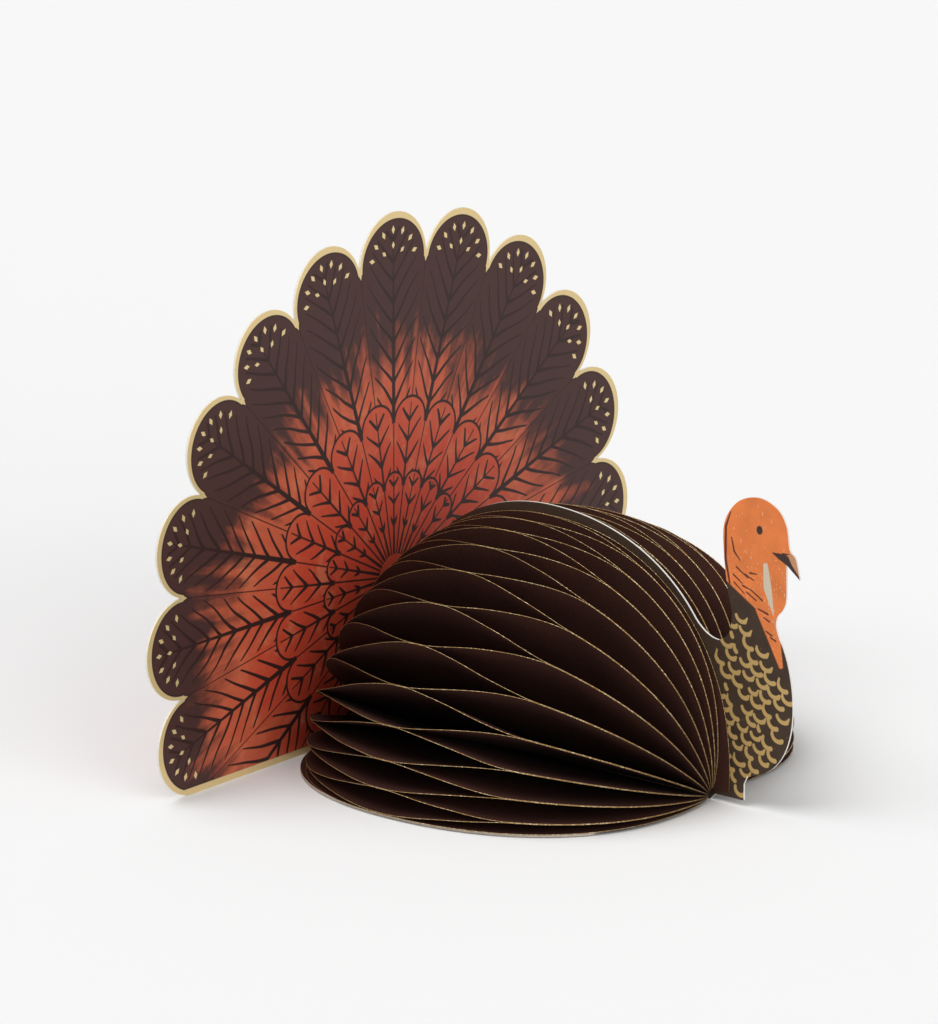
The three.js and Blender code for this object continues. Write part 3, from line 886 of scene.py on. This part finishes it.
# Painted glints: pale scratches that stand for reflections off the glossy print
STREAK_SHAPE = {"Rotation": (0.5, 0, 0), "Scale": (1, 1.3, 0.35)}  # pale scratches run down and forward
NECK_HEIGHTS = (92, 76)  # pale dots go from few to many between these
EYE_PLACE, EYE_HALF = (0, -88.4, 96.1), (1, 1.25, 1.5)  # half 1 for the axis that isn't kept

# Strokes: station and height where each starts, half its width there, and the same where it ends
NAPE_STROKES = (
    (-76.4, 100.2, 0.2, -74.5, 95, 0.42), (-74.5, 95, 0.42, -74.4, 84, 0.5),
    (-74.4, 84, 0.5, -76.2, 76, 0.35), (-76.9, 91.6, 0.25, -78, 87, 0.36), (-78, 87, 0.36, -80.4, 84.4, 0.18),
)
NECK_STROKES = (
    (-77.7, 79.1, 0.32, -81.5, 76.7, 0.2), (-79, 81.9, 0.32, -83.8, 78.9, 0.2),
    (-82.5, 80, 0.32, -86.2, 78.6, 0.2), (-84.6, 80.8, 0.37, -87.3, 80.9, 0.2),
    (-78, 76.5, 0.26, -82.3, 73.4, 0.2), (-81.6, 76, 0.32, -85.5, 74.9, 0.2),
    (-83.3, 74, 0.26, -87.2, 71.9, 0.26), (-85.2, 75, 0.26, -89.7, 72.4, 0.32),
    (-88.1, 69.2, 0.26, -92.1, 68.1, 0.37), (-90.5, 66.6, 0.26, -92.7, 65.7, 0.32),
    (-91.4, 62.2, 0.26, -93.8, 61.1, 0.32), (-93.2, 60.4, 0.26, -95.4, 59.5, 0.32),
)
MOUTH_STROKES = (
    (-93.8, 89.4, 0.15, -96.6, 88.7, 1), (-96.6, 88.7, 1, -99.3, 88, 1.5), (-98, 89.6, 0.5, -100.5, 90, 0.15),
    (-99.3, 88, 1.5, -101.2, 86, 0.85), (-101.2, 86, 0.85, -105.4, 82.2, 0.25),
)
BEAK_SHAPE = ((-101.6, 88.6, 1.9, -105.4, 82.6, 0.6),)
WATTLE_SHAPE = ((-91, 84.4, 1, -91.9, 77, 1.65), (-91.9, 77, 1.65, -94.5, 68, 0.15))
TONGUE_SHAPE = ((-91.5, 70, 4.6, -97.6, 51.4, 0.9),)
SCALE_FIELD = (
    (-82.3, 69, 1.2, -79.8, 61, 5.5), (-79.8, 61, 5.5, -83, 46, 12), (-83, 46, 12, -85, 28, 13),
    (-95, 42, 6, -91.5, 22, 6), (-82, 20, 9.5, -79, 6, 2.5),
)


def brush_stroke():
    """Shader group: how deep a point lies inside a straight stroke that tapers from one width to another."""
    name = "Brush Stroke"
    if name in bpy.data.node_groups:
        return bpy.data.node_groups[name]
    inputs = {"Vector": ("Point", "From", "To"), "Float": ("From Half", "To Half")}
    tree, add, given = new_group(name, "ShaderNodeTree", inputs, "Depth", "Float")
    reach = add(VECTOR, (given["Point"], given["From"]), "SUBTRACT")
    line = add(VECTOR, (given["To"], given["From"]), "SUBTRACT")
    shadow = add(VECTOR, (reach, line), "DOT_PRODUCT")
    square = add(VECTOR, (line, line), "DOT_PRODUCT")
    share = add(MATH, (shadow, square), "DIVIDE", use_clamp=True)
    foot = add(VECTOR, {0: line, "Scale": share}, "SCALE")
    off = add(VECTOR, (reach, foot), "DISTANCE")
    half = add(MIX, {0: share, 2: given["From Half"], 3: given["To Half"]})
    add("NodeGroupOutput", (add(MATH, (half, off), "SUBTRACT"),))
    return tree


def stroke_depth(add, strokes, point):
    """Depth of a point inside the nearest of some strokes."""
    deepest = None
    for s1, z1, half1, s2, z2, half2 in strokes:
        ends = {"Point": point, "From": (0, s1, z1), "To": (0, s2, z2), "From Half": half1, "To Half": half2}
        depth = add("ShaderNodeGroup", ends, node_tree=brush_stroke())
        deepest = depth if deepest is None else add(MATH, (deepest, depth), "MAXIMUM")
    return deepest


def scale_depth(add, card, flat):
    """Depth of a point inside the gold scales: brushed arcs, each with its own tilt, size and place.

    Odd and even rows are drawn apart, so that an arc may reach into the next row.
    """
    sizes = (card.scale_width, card.scale_height, card.scale_line)
    width, height, line = (length * PER_METRE for length in sizes)
    slanted = add(ROTATE, {"Vector": flat, "Angle": -ROW_SLANT}, rotation_type="X_AXIS")
    rows = []
    for odd in (0, 1):
        # Cell of the point, the point from the cell's middle, and what chance gives the cell
        spot = add(VECTOR, (slanted, (0.5 + odd, odd * width / 2, odd * height)), "ADD")
        spot = add(VECTOR, (spot, (1, width, 2 * height)), "DIVIDE")
        part = add(VECTOR, (add(VECTOR, (spot,), "FRACTION"), (0.5, 0.5, 0.5)), "SUBTRACT")
        part = add(VECTOR, (part, (0, width, 2 * height)), "MULTIPLY")
        middle = add(VECTOR, (slanted, part), "SUBTRACT")
        middle = add(ROTATE, {"Vector": middle, "Angle": ROW_SLANT}, rotation_type="X_AXIS")
        cell = add(VECTOR, (spot,), "FLOOR")
        chance = add("ShaderNodeTexWhiteNoise", {"Vector": cell}, noise_dimensions="3D").outputs
        drawn = add(SEPARATE, (chance["Color"],)).outputs

        # Nearest point of the arc, whose brush widens along the turn
        nudge = add(VECTOR, (chance["Color"], (0.5, 0.5, 0.5)), "SUBTRACT")
        nudge = add(VECTOR, (nudge, ARC_NUDGE), "MULTIPLY")
        for move in (nudge, ARC_CENTRE):
            part = add(VECTOR, (part, move), "SUBTRACT")
        tilt = add(RANGE, (chance["Value"], 0, 1, *ARC_TILT))
        part = add(ROTATE, {"Vector": part, "Angle": tilt}, rotation_type="X_AXIS")
        sides = add(SEPARATE, (part,)).outputs
        turn = add(MATH, (sides["Y"], sides["Z"]), "ARCTAN2")
        span = add(RANGE, (drawn["X"], 0, SHORT_ARCS, *ARC_SPAN))
        turn = add("ShaderNodeClamp", (turn, add(MATH, (span, -1), "MULTIPLY"), span))
        arc = add(COMBINE, (0, add(MATH, (turn,), "SINE"), add(MATH, (turn,), "COSINE")))
        arc = add(VECTOR, {0: arc, "Scale": add(RANGE, (drawn["Y"], 0, 1, *ARC_RADIUS))}, "SCALE")
        off = add(VECTOR, (part, arc), "DISTANCE")
        half = add(RANGE, (turn, -ARC_SPAN[1], ARC_SPAN[1], *(share * line for share in ARC_WIDTH)))
        depth = add(MATH, (half, off), "SUBTRACT")
        kept = add(MATH, (stroke_depth(add, SCALE_FIELD, middle), SHARPEN), "MULTIPLY")
        rows.append(add(MATH, (depth, kept), "MINIMUM"))
    return add(MATH, rows, "MAXIMUM")


def breast_print(card, colours):
    # Offset print on coated card: brown neck and breast under rows of gold scales, and an orange head with
    # brush strokes and painted glints, all slightly uneven as ink on a soft coating is.
    finish, add = new_finish("Coated card, brown print with gold scales")
    flat = flat_place(add, (0, -STATION_ZERO * PER_METRE, 0), (0, 1, 1))
    axes = add(SEPARATE, (flat,)).outputs
    cloud = add(NOISE, {"Vector": flat, "Scale": 1 / CLOUD, "Detail": 4.0})
    grain = add(NOISE, {"Vector": flat, "Scale": 1 / GRAIN, "Detail": 2.0})

    # Brown ground with cloudy tone, gold scales and specks of the same gold
    tone = add(RANGE, (cloud, 0.3, 0.7, 0.78, 1.2))
    inks = add(VECTOR, {0: colours.breast[:3], "Scale": tone}, "SCALE")
    scale = add(RANGE, (scale_depth(add, card, flat), *INK_EDGE, 0, 1))
    inks = add(MIX, {0: scale, 6: inks, 7: colours.scale_gold}, data_type="RGBA")
    inks = overprint(add, inks, colours.scale_gold, grain, (0.7, 0.78), (0, 0.5))

    # Orange head down to a pointed tongue on the throat, with pale dots and painted glints: pale scratches
    # that stand for reflections off the glossy print
    nape_station, nape_height, slope = COLLAR
    collar = add(MATH, (axes["Y"], slope, nape_height - slope * nape_station), "MULTIPLY_ADD")
    above = add(MATH, (axes["Z"], collar), "SUBTRACT")
    above = add(MATH, (above, add(MATH, (NAPE, axes["Y"]), "SUBTRACT")), "MINIMUM")
    head = add(MATH, (above, stroke_depth(add, TONGUE_SHAPE, flat)), "MAXIMUM")
    head = add(RANGE, (head, *SOFT_EDGE, 0, 1))
    warm = add(RANGE, (cloud, 0.3, 0.7, 0.86, 1.1))
    orange = add(VECTOR, {0: colours.head[:3], "Scale": warm}, "SCALE")
    # Painted glints: stretched noise gives pale scratches that stand for reflections off the glossy print
    streak = add("ShaderNodeMapping", {"Vector": flat} | STREAK_SHAPE)
    streak = add(NOISE, {"Vector": streak, "Scale": 1.0, "Detail": 1.0})
    scratch = add(RANGE, (streak, 0.68, 0.74, 0, 0.75))
    dots = add(RANGE, (grain, 0.62, 0.69, 0, 0.7))
    dots = add(MATH, (dots, add(RANGE, (axes["Z"], *NECK_HEIGHTS, 0.1, 1))), "MULTIPLY")
    pale = add(MATH, (scratch, dots), "MAXIMUM")
    orange = add(MIX, {0: pale, 6: orange, 7: colours.head_light}, data_type="RGBA")
    inks = add(MIX, {0: head, 6: inks, 7: orange}, data_type="RGBA")

    # Beak, wattle, strokes and eye
    layers = (
        (colours.beak, BEAK_SHAPE, BEAK_EDGE),
        (colours.wattle, WATTLE_SHAPE, INK_EDGE),
        (colours.ink, NAPE_STROKES + NECK_STROKES, INK_EDGE),
        (colours.eye, MOUTH_STROKES, INK_EDGE),
    )
    for ink, strokes, edge in layers:
        inks = overprint(add, inks, ink, stroke_depth(add, strokes, flat), edge)
    eye = add(VECTOR, (flat, EYE_PLACE), "SUBTRACT")
    eye = add(VECTOR, (add(VECTOR, (eye, EYE_HALF), "DIVIDE"),), "LENGTH")
    inks = overprint(add, inks, colours.eye, add(MATH, (1, eye), "SUBTRACT"), INK_EDGE)

    # Gold ink is smoother than the coating, and slightly metallic
    gilt = add(MATH, (scale, add(MATH, (1, head), "SUBTRACT")), "MULTIPLY")
    metal = add(MATH, (gilt, 0.3), "MULTIPLY")
    gloss = add(RANGE, (gilt, 0, 1, 0.52, 0.38))
    rough = add(MATH, (gloss, add(RANGE, (grain, 0.3, 0.7, -0.06, 0.06))), "ADD")
    bump = add(BUMP, {"Height": grain, "Strength": 0.08, "Distance": 0.05 * MM})
    coat = {"Base Color": inks, "Metallic": metal, "Roughness": rough, "Specular IOR Level": 0.4}
    add(OUTPUT, (add(SHADER, coat | {"Normal": bump}),))
    return finish


# Print of the tail fan. Sizes are in mm.

FAN_CLOUD, FAN_PATCH, FAN_SWAY, FAN_GRAIN = 22, 14, 16, 1.1  # sizes of the unevenness
FAN_EDGE = (-0.14, 0.14)  # an ink comes in between these depths inside its shape
HUB = 8  # no line comes nearer to the fan's centre
SWAY = (-1, 1)  # how far the barbs stray along the shaft
BARB_SLANT = 1.15  # rise of a barb for its reach from the shaft
BARB_END, SHAFT_END, SEAM = 0.32, 0.2, 0.35  # half widths
BARB_ROOM = 1.6  # from a barb's end to the next feather
LINE_MARGIN, BARB_TAPER = 0.3, 0.8  # shares of the end's radius
PLUME_SHADE = (0.35, 0)  # red over a short feather, from its outline inwards
SHAFT_LENGTH = 70  # a shaft tapers from this far below its feather's round end
FEATHER_OUTLINE = 0.9  # width of the line round a short feather
RED_TO_ORANGE, ORANGE_TO_DARK = (35, 70), (64, 88)  # radii of the washes' edges
WASH_STRAY = 45  # how far clouds and streaks shift those edges
STREAKS, STREAK_LENGTH = 20, 45  # streaks in a radian, and their length
LOW_TURN = (math.radians(55), math.radians(110))  # from here on the washes reach further out
LOW_SHIFT = 24  # by this much on the lowest lobes
STRIP_FOOT = -0.3  # half width of the foil's point at its foot, below zero so that it closes
FOIL_LAP = 1  # the foil round a lobe runs on below the lobe's centre, into the strips beside the notches
KEYLINE_REACH = 1.5  # how far the keyline runs down a seam, in lengths of the foil's point
# Lozenges: radius of their ring in a lobe, degrees from one to the next, half length and half width
LOZENGES = ((11.3, 26, 1.5, 0.85), (6, 52, 1.3, 0.75))


def feather_row(add, fan, around, radius, circle, turn):
    """One row of round-ended feathers on a circle.

    Gives the place across and along a feather, the distance from the centre of its round end, the depth
    inside the row and the radius of the end.
    """
    lean = add(MATH, (add(MATH, (around, turn), "ADD"), fan.pitch / 2, -fan.pitch / 2), "WRAP")
    across = add(MATH, (radius, add(MATH, (lean,), "SINE")), "MULTIPLY")
    along = add(MATH, (radius, add(MATH, (lean,), "COSINE"), -circle), "MULTIPLY_ADD")
    reach = add(VECTOR, (add(COMBINE, (across, along, 0)),), "LENGTH")
    tip = circle * math.tan(fan.pitch / 2)
    rounded = add(MATH, (tip, reach), "SUBTRACT")
    depth = add(MATH, (rounded, add(MATH, (along, -1), "MULTIPLY")), "MAXIMUM")
    return across, along, reach, depth, tip


def feather_lines(add, fan, radius, sway, row):
    """Depth inside the dark lines of a feather: shaft, slanting barbs and the seam to its neighbour."""
    across, along, _, depth, tip = row
    along = add(MATH, (sway, along), "ADD")
    aside = add(MATH, (across,), "ABSOLUTE")
    margin = add(MATH, (depth, LINE_MARGIN * tip), "SUBTRACT")
    half_width = add(MATH, (radius, math.tan(fan.pitch / 2)), "MULTIPLY")
    free = add(MATH, (half_width, aside), "SUBTRACT")
    half_pitch = fan.barb_pitch * PER_METRE / 2
    slant = add(MATH, (aside, -BARB_SLANT, along), "MULTIPLY_ADD")
    step = add(MATH, (add(MATH, (slant, half_pitch, -half_pitch), "WRAP"),), "ABSOLUTE")
    taper = add(RANGE, (aside, 0, BARB_TAPER * tip, fan.barb_line * PER_METRE / 2, BARB_END))
    lines = add(MATH, (taper, step), "SUBTRACT")
    for limit in (margin, add(MATH, (free, BARB_ROOM), "SUBTRACT")):
        lines = add(MATH, (lines, limit), "MINIMUM")
    shaft = add(RANGE, (along, -SHAFT_LENGTH, tip, fan.shaft_line * PER_METRE / 2, SHAFT_END))
    shaft = add(MATH, (add(MATH, (shaft, aside), "SUBTRACT"), margin), "MINIMUM")
    seam = add(MATH, (SEAM, free), "SUBTRACT")
    seam = add(MATH, (seam, add(MATH, (along, -1), "MULTIPLY")), "MINIMUM")
    for other in (shaft, seam):
        lines = add(MATH, (lines, other), "MAXIMUM")
    return add(MATH, (lines, add(MATH, (radius, HUB), "SUBTRACT")), "MINIMUM")


def fan_wash(add, colours, flat, around, radius):
    """Washes of the fan: red centre, orange middle with pale patches, then dark ends, with cloudy edges."""
    cloud = add(NOISE, {"Vector": flat, "Scale": 1 / FAN_CLOUD, "Detail": 5.0, "Roughness": 0.6})
    patch = add(NOISE, {"Vector": flat, "Scale": 1 / FAN_PATCH, "Detail": 4.0, "Roughness": 0.7})
    drawn = (add(MATH, (around, STREAKS), "MULTIPLY"), add(MATH, (radius, STREAK_LENGTH), "DIVIDE"), 0)
    streak = add(NOISE, {"Vector": add(COMBINE, drawn), "Scale": 1.0, "Detail": 3.0})
    uneven = add(MATH, (streak, cloud), "ADD")
    washed = add(MATH, (uneven, WASH_STRAY, radius), "MULTIPLY_ADD")
    low = add(RANGE, (add(MATH, (around,), "ABSOLUTE"), *LOW_TURN, 0, LOW_SHIFT))
    for shift in (WASH_STRAY, low):
        washed = add(MATH, (washed, shift), "SUBTRACT")
    soft = {"interpolation_type": "SMOOTHSTEP"}
    wash = overprint(add, colours.feather_root, colours.feather_middle, washed, RED_TO_ORANGE, **soft)
    wash = overprint(add, wash, colours.feather_pale, patch, (0.52, 0.72), (0, 0.8))
    return overprint(add, wash, colours.feather_tip, washed, ORANGE_TO_DARK, **soft)


def foil_depths(add, fan, row, radius, height, lobe_radius):
    """Depths inside the dark keyline along the foil's border, and inside the foil, border and lozenges."""
    across, along, reach, _, _ = row
    wide, narrow, point = (length * PER_METRE for length in (fan.border, fan.notch_border, fan.notch_point))
    shares = (1 / (lobe_radius - narrow), 1 / (lobe_radius - wide), 0)
    oval = add(VECTOR, (add(VECTOR, (add(COMBINE, (across, along, 0)), shares), "MULTIPLY"),), "LENGTH")
    foil = add(MATH, (oval, lobe_radius - wide, wide - lobe_radius), "MULTIPLY_ADD")
    foil = add(MATH, (foil, add(MATH, (along, FOIL_LAP), "ADD")), "MINIMUM")
    aside = add(MATH, (across,), "ABSOLUTE")
    seam = add(MATH, (radius, -math.sin(fan.pitch / 2), aside), "MULTIPLY_ADD")
    strip = add(MATH, (add(RANGE, (along, -point, 0, STRIP_FOOT, narrow)), seam), "ADD")
    foot = add(MATH, (wide, height), "SUBTRACT")
    for other in (strip, foot):
        foil = add(MATH, (foil, other), "MAXIMUM")
    keyline = add(MATH, (foil, fan.keyline * PER_METRE), "ADD")
    near = add(MATH, (add(MATH, (along, KEYLINE_REACH * point), "ADD"), foot), "MAXIMUM")
    keyline = add(MATH, (keyline, near), "MINIMUM")
    heading = add(MATH, (across, along), "ARCTAN2")
    for ring, apart, half_long, half_wide in LOZENGES:
        part = math.radians(apart) / 2
        local = add(MATH, (add(MATH, (heading, part, -part), "WRAP"), reach), "MULTIPLY")
        aside = add(MATH, (local,), "ABSOLUTE")
        out = add(MATH, (add(MATH, (reach, ring), "SUBTRACT"),), "ABSOLUTE")
        lozenge = add(MATH, (aside, -half_long / half_wide, half_long), "MULTIPLY_ADD")
        lozenge = add(MATH, (add(MATH, (lozenge, out), "SUBTRACT"), along), "MINIMUM")
        foil = add(MATH, (foil, lozenge), "MAXIMUM")
    return keyline, foil


def fan_print(fan, colours):
    # Offset print on coated card with stamped foil: three rows of plain feathers with shafts and even barbs,
    # dark at their ends and orange-red at the centre, a pale gold border and small gold lozenges.
    finish, add = new_finish("Coated card, feather print and gold foil")
    lobe_radius, lobe_circle, centre = (length * PER_METRE for length in fan_circles(fan))
    flat = flat_place(add, (0, 0, -centre), (1, 0, 1))
    axes = add(SEPARATE, (flat,)).outputs
    around = add(MATH, (axes["X"], axes["Z"]), "ARCTAN2")
    radius = add(VECTOR, (flat,), "LENGTH")
    grain = add(NOISE, {"Vector": flat, "Scale": 1 / FAN_GRAIN, "Detail": 2.0})
    sway = add(NOISE, {"Vector": flat, "Scale": 1 / FAN_SWAY, "Detail": 0.0})
    sway = add(RANGE, (sway, 0.3, 0.7, *SWAY))
    wash = fan_wash(add, colours, flat, around, radius)

    # Outer row of feathers, then the two shorter rows laid over it
    outer = feather_row(add, fan, around, radius, lobe_circle, 0)
    lines = feather_lines(add, fan, radius, sway, outer)
    inks = overprint(add, wash, colours.feather_ink, lines, FAN_EDGE)
    for circle, turn in ((fan.middle_tier, fan.pitch / 2), (fan.inner_tier, 0)):
        row = feather_row(add, fan, around, radius, circle * PER_METRE, turn)
        depth, tip = row[3:]
        outline = add(MATH, (FEATHER_OUTLINE, depth), "SUBTRACT")
        lines = add(MATH, (feather_lines(add, fan, radius, sway, row), outline), "MAXIMUM")
        plume = overprint(add, wash, colours.feather_root, depth, (0, tip), PLUME_SHADE)
        plume = overprint(add, plume, colours.feather_ink, lines, FAN_EDGE)
        inks = overprint(add, inks, plume, depth, FAN_EDGE)

    # Foil is smoother than the coating, and slightly metallic
    height = add(MATH, (axes["Z"], centre), "ADD")
    keyline, foil = foil_depths(add, fan, outer, radius, height, lobe_radius)
    inks = overprint(add, inks, colours.feather_ink, keyline, FAN_EDGE)
    gold = add(RANGE, (foil, *FAN_EDGE, 0, 1))
    inks = add(MIX, {0: gold, 6: inks, 7: colours.foil}, data_type="RGBA")
    metal = add(MATH, (gold, 0.3), "MULTIPLY")
    rough = add(RANGE, (gold, 0, 1, 0.5, 0.34))
    bump = {"Height": grain, "Strength": add(RANGE, (gold, 0, 1, 0.06, 0)), "Distance": 0.05 * MM}
    coat = {"Base Color": inks, "Metallic": metal, "Roughness": rough, "Specular IOR Level": 0.2}
    add(OUTPUT, (add(SHADER, coat | {"Normal": add(BUMP, bump)}),))
    return finish


# Stage

VIEW_END = 100  # metres that the camera sees


def bearing(azimuth, elevation):
    """Unit vector towards a place seen from the object, with azimuth 0 along -Y."""
    flat = math.cos(elevation)
    return Vector((math.sin(azimuth) * flat, -math.cos(azimuth) * flat, math.sin(elevation)))


def backdrop_paper(stage):
    # Matt backdrop paper: pale and plain, so that only the soft shadow shows on it.
    finish, add = new_finish("Matt backdrop paper")
    matt = {"Base Color": stage.floor, "Roughness": 1.0, "Specular IOR Level": 0.0}
    add(OUTPUT, (add(SHADER, matt),))
    return finish


def even_sky(stage):
    """A world that lights evenly, and looks like the floor to the camera and in reflections."""
    world = bpy.data.worlds.new("Even sky")
    world.use_nodes = True
    world.node_tree.nodes.clear()
    add = partial(node, world.node_tree)
    light = add("ShaderNodeBackground", {"Color": (1, 1, 1, 1), "Strength": stage.sky})
    seen = add("ShaderNodeBackground", {"Color": stage.floor, "Strength": 1.0})
    path = add("ShaderNodeLightPath").outputs
    bright = path["Is Camera Ray"]
    for ray in ("Is Glossy Ray", "Is Transmission Ray"):
        bright = add(MATH, (bright, path[ray]), "MAXIMUM")
    add("ShaderNodeOutputWorld", (add("ShaderNodeMixShader", (bright, light, seen)),))
    return world


class TURKEY_OT_stage(bpy.types.Operator):
    """Make the pale floor, the even sky, the two soft lights and the camera"""

    bl_idname = "turkey.stage"
    bl_label = "Stage"

    def execute(self, context):
        scene = context.scene
        stage = scene.turkey_stage
        scene.view_settings.view_transform = "Standard"
        scene.world = even_sky(stage)

        half = stage.floor_size / 2
        corners = [(-half, -half, 0), (half, -half, 0), (half, half, 0), (-half, half, 0)]
        mesh = bpy.data.meshes.new("floor")
        mesh.from_pydata(corners, [], [(0, 1, 2, 3)])
        mesh.materials.append(backdrop_paper(stage))
        floor = bpy.data.objects.new("floor", mesh)
        scene.collection.objects.link(floor)

        lights = {
            "soft key": (stage.key, stage.key_azimuth, stage.key_elevation),
            "soft fill": (stage.fill, stage.fill_azimuth, stage.fill_elevation),
        }
        for name, (strength, azimuth, elevation) in lights.items():
            lamp = bpy.data.lights.new(name, "SUN")
            lamp.energy = strength
            lamp.angle = stage.softness
            light = bpy.data.objects.new(name, lamp)
            light.rotation_euler = bearing(azimuth, elevation).to_track_quat("Z", "Y").to_euler()
            scene.collection.objects.link(light)

        target = Vector((0, stage.target_y, stage.target_z))
        back = bearing(stage.azimuth, stage.elevation)
        camera = bpy.data.objects.new("camera", bpy.data.cameras.new("camera"))
        camera.data.lens = stage.lens
        camera.data.clip_end = VIEW_END
        camera.location = target + back * stage.distance
        camera.rotation_euler = back.to_track_quat("Z", "Y").to_euler()
        scene.collection.objects.link(camera)
        scene.camera = camera
        return {"FINISHED"}


class TURKEY_PT_sidebar(bpy.types.Panel):
    """Pieces of the paper turkey"""

    bl_idname = "TURKEY_PT_sidebar"
    bl_label = "Paper Turkey"
    bl_space_type = "VIEW_3D"
    bl_region_type = "UI"
    bl_category = "Paper Turkey"

    def draw(self, context):
        for operator in OPERATORS:
            self.layout.operator(operator.bl_idname)
        for name, group in SETTINGS.items():
            box = self.layout.box()
            box.label(text=group.__doc__)
            settings = getattr(context.scene, name)
            for field in group.__annotations__:
                box.prop(settings, field)


OPERATORS = (
    TURKEY_OT_honeycomb,
    TURKEY_OT_base_boards,
    TURKEY_OT_centre_card,
    TURKEY_OT_tail_fan,
    TURKEY_OT_stage,
)


def register():
    for name, group in SETTINGS.items():
        bpy.utils.register_class(group)
        setattr(bpy.types.Scene, name, PointerProperty(type=group))
    for operator in OPERATORS:
        bpy.utils.register_class(operator)
    bpy.utils.register_class(TURKEY_PT_sidebar)


def unregister():
    bpy.utils.unregister_class(TURKEY_PT_sidebar)
    for operator in reversed(OPERATORS):
        bpy.utils.unregister_class(operator)
    for name, group in reversed(SETTINGS.items()):
        delattr(bpy.types.Scene, name)
        bpy.utils.unregister_class(group)


def main():
    register()
    bpy.ops.turkey.honeycomb()
    bpy.ops.turkey.base_boards()
    bpy.ops.turkey.centre_card()
    bpy.ops.turkey.tail_fan()
    bpy.ops.turkey.stage()


if __name__ == "__main__":
    main()
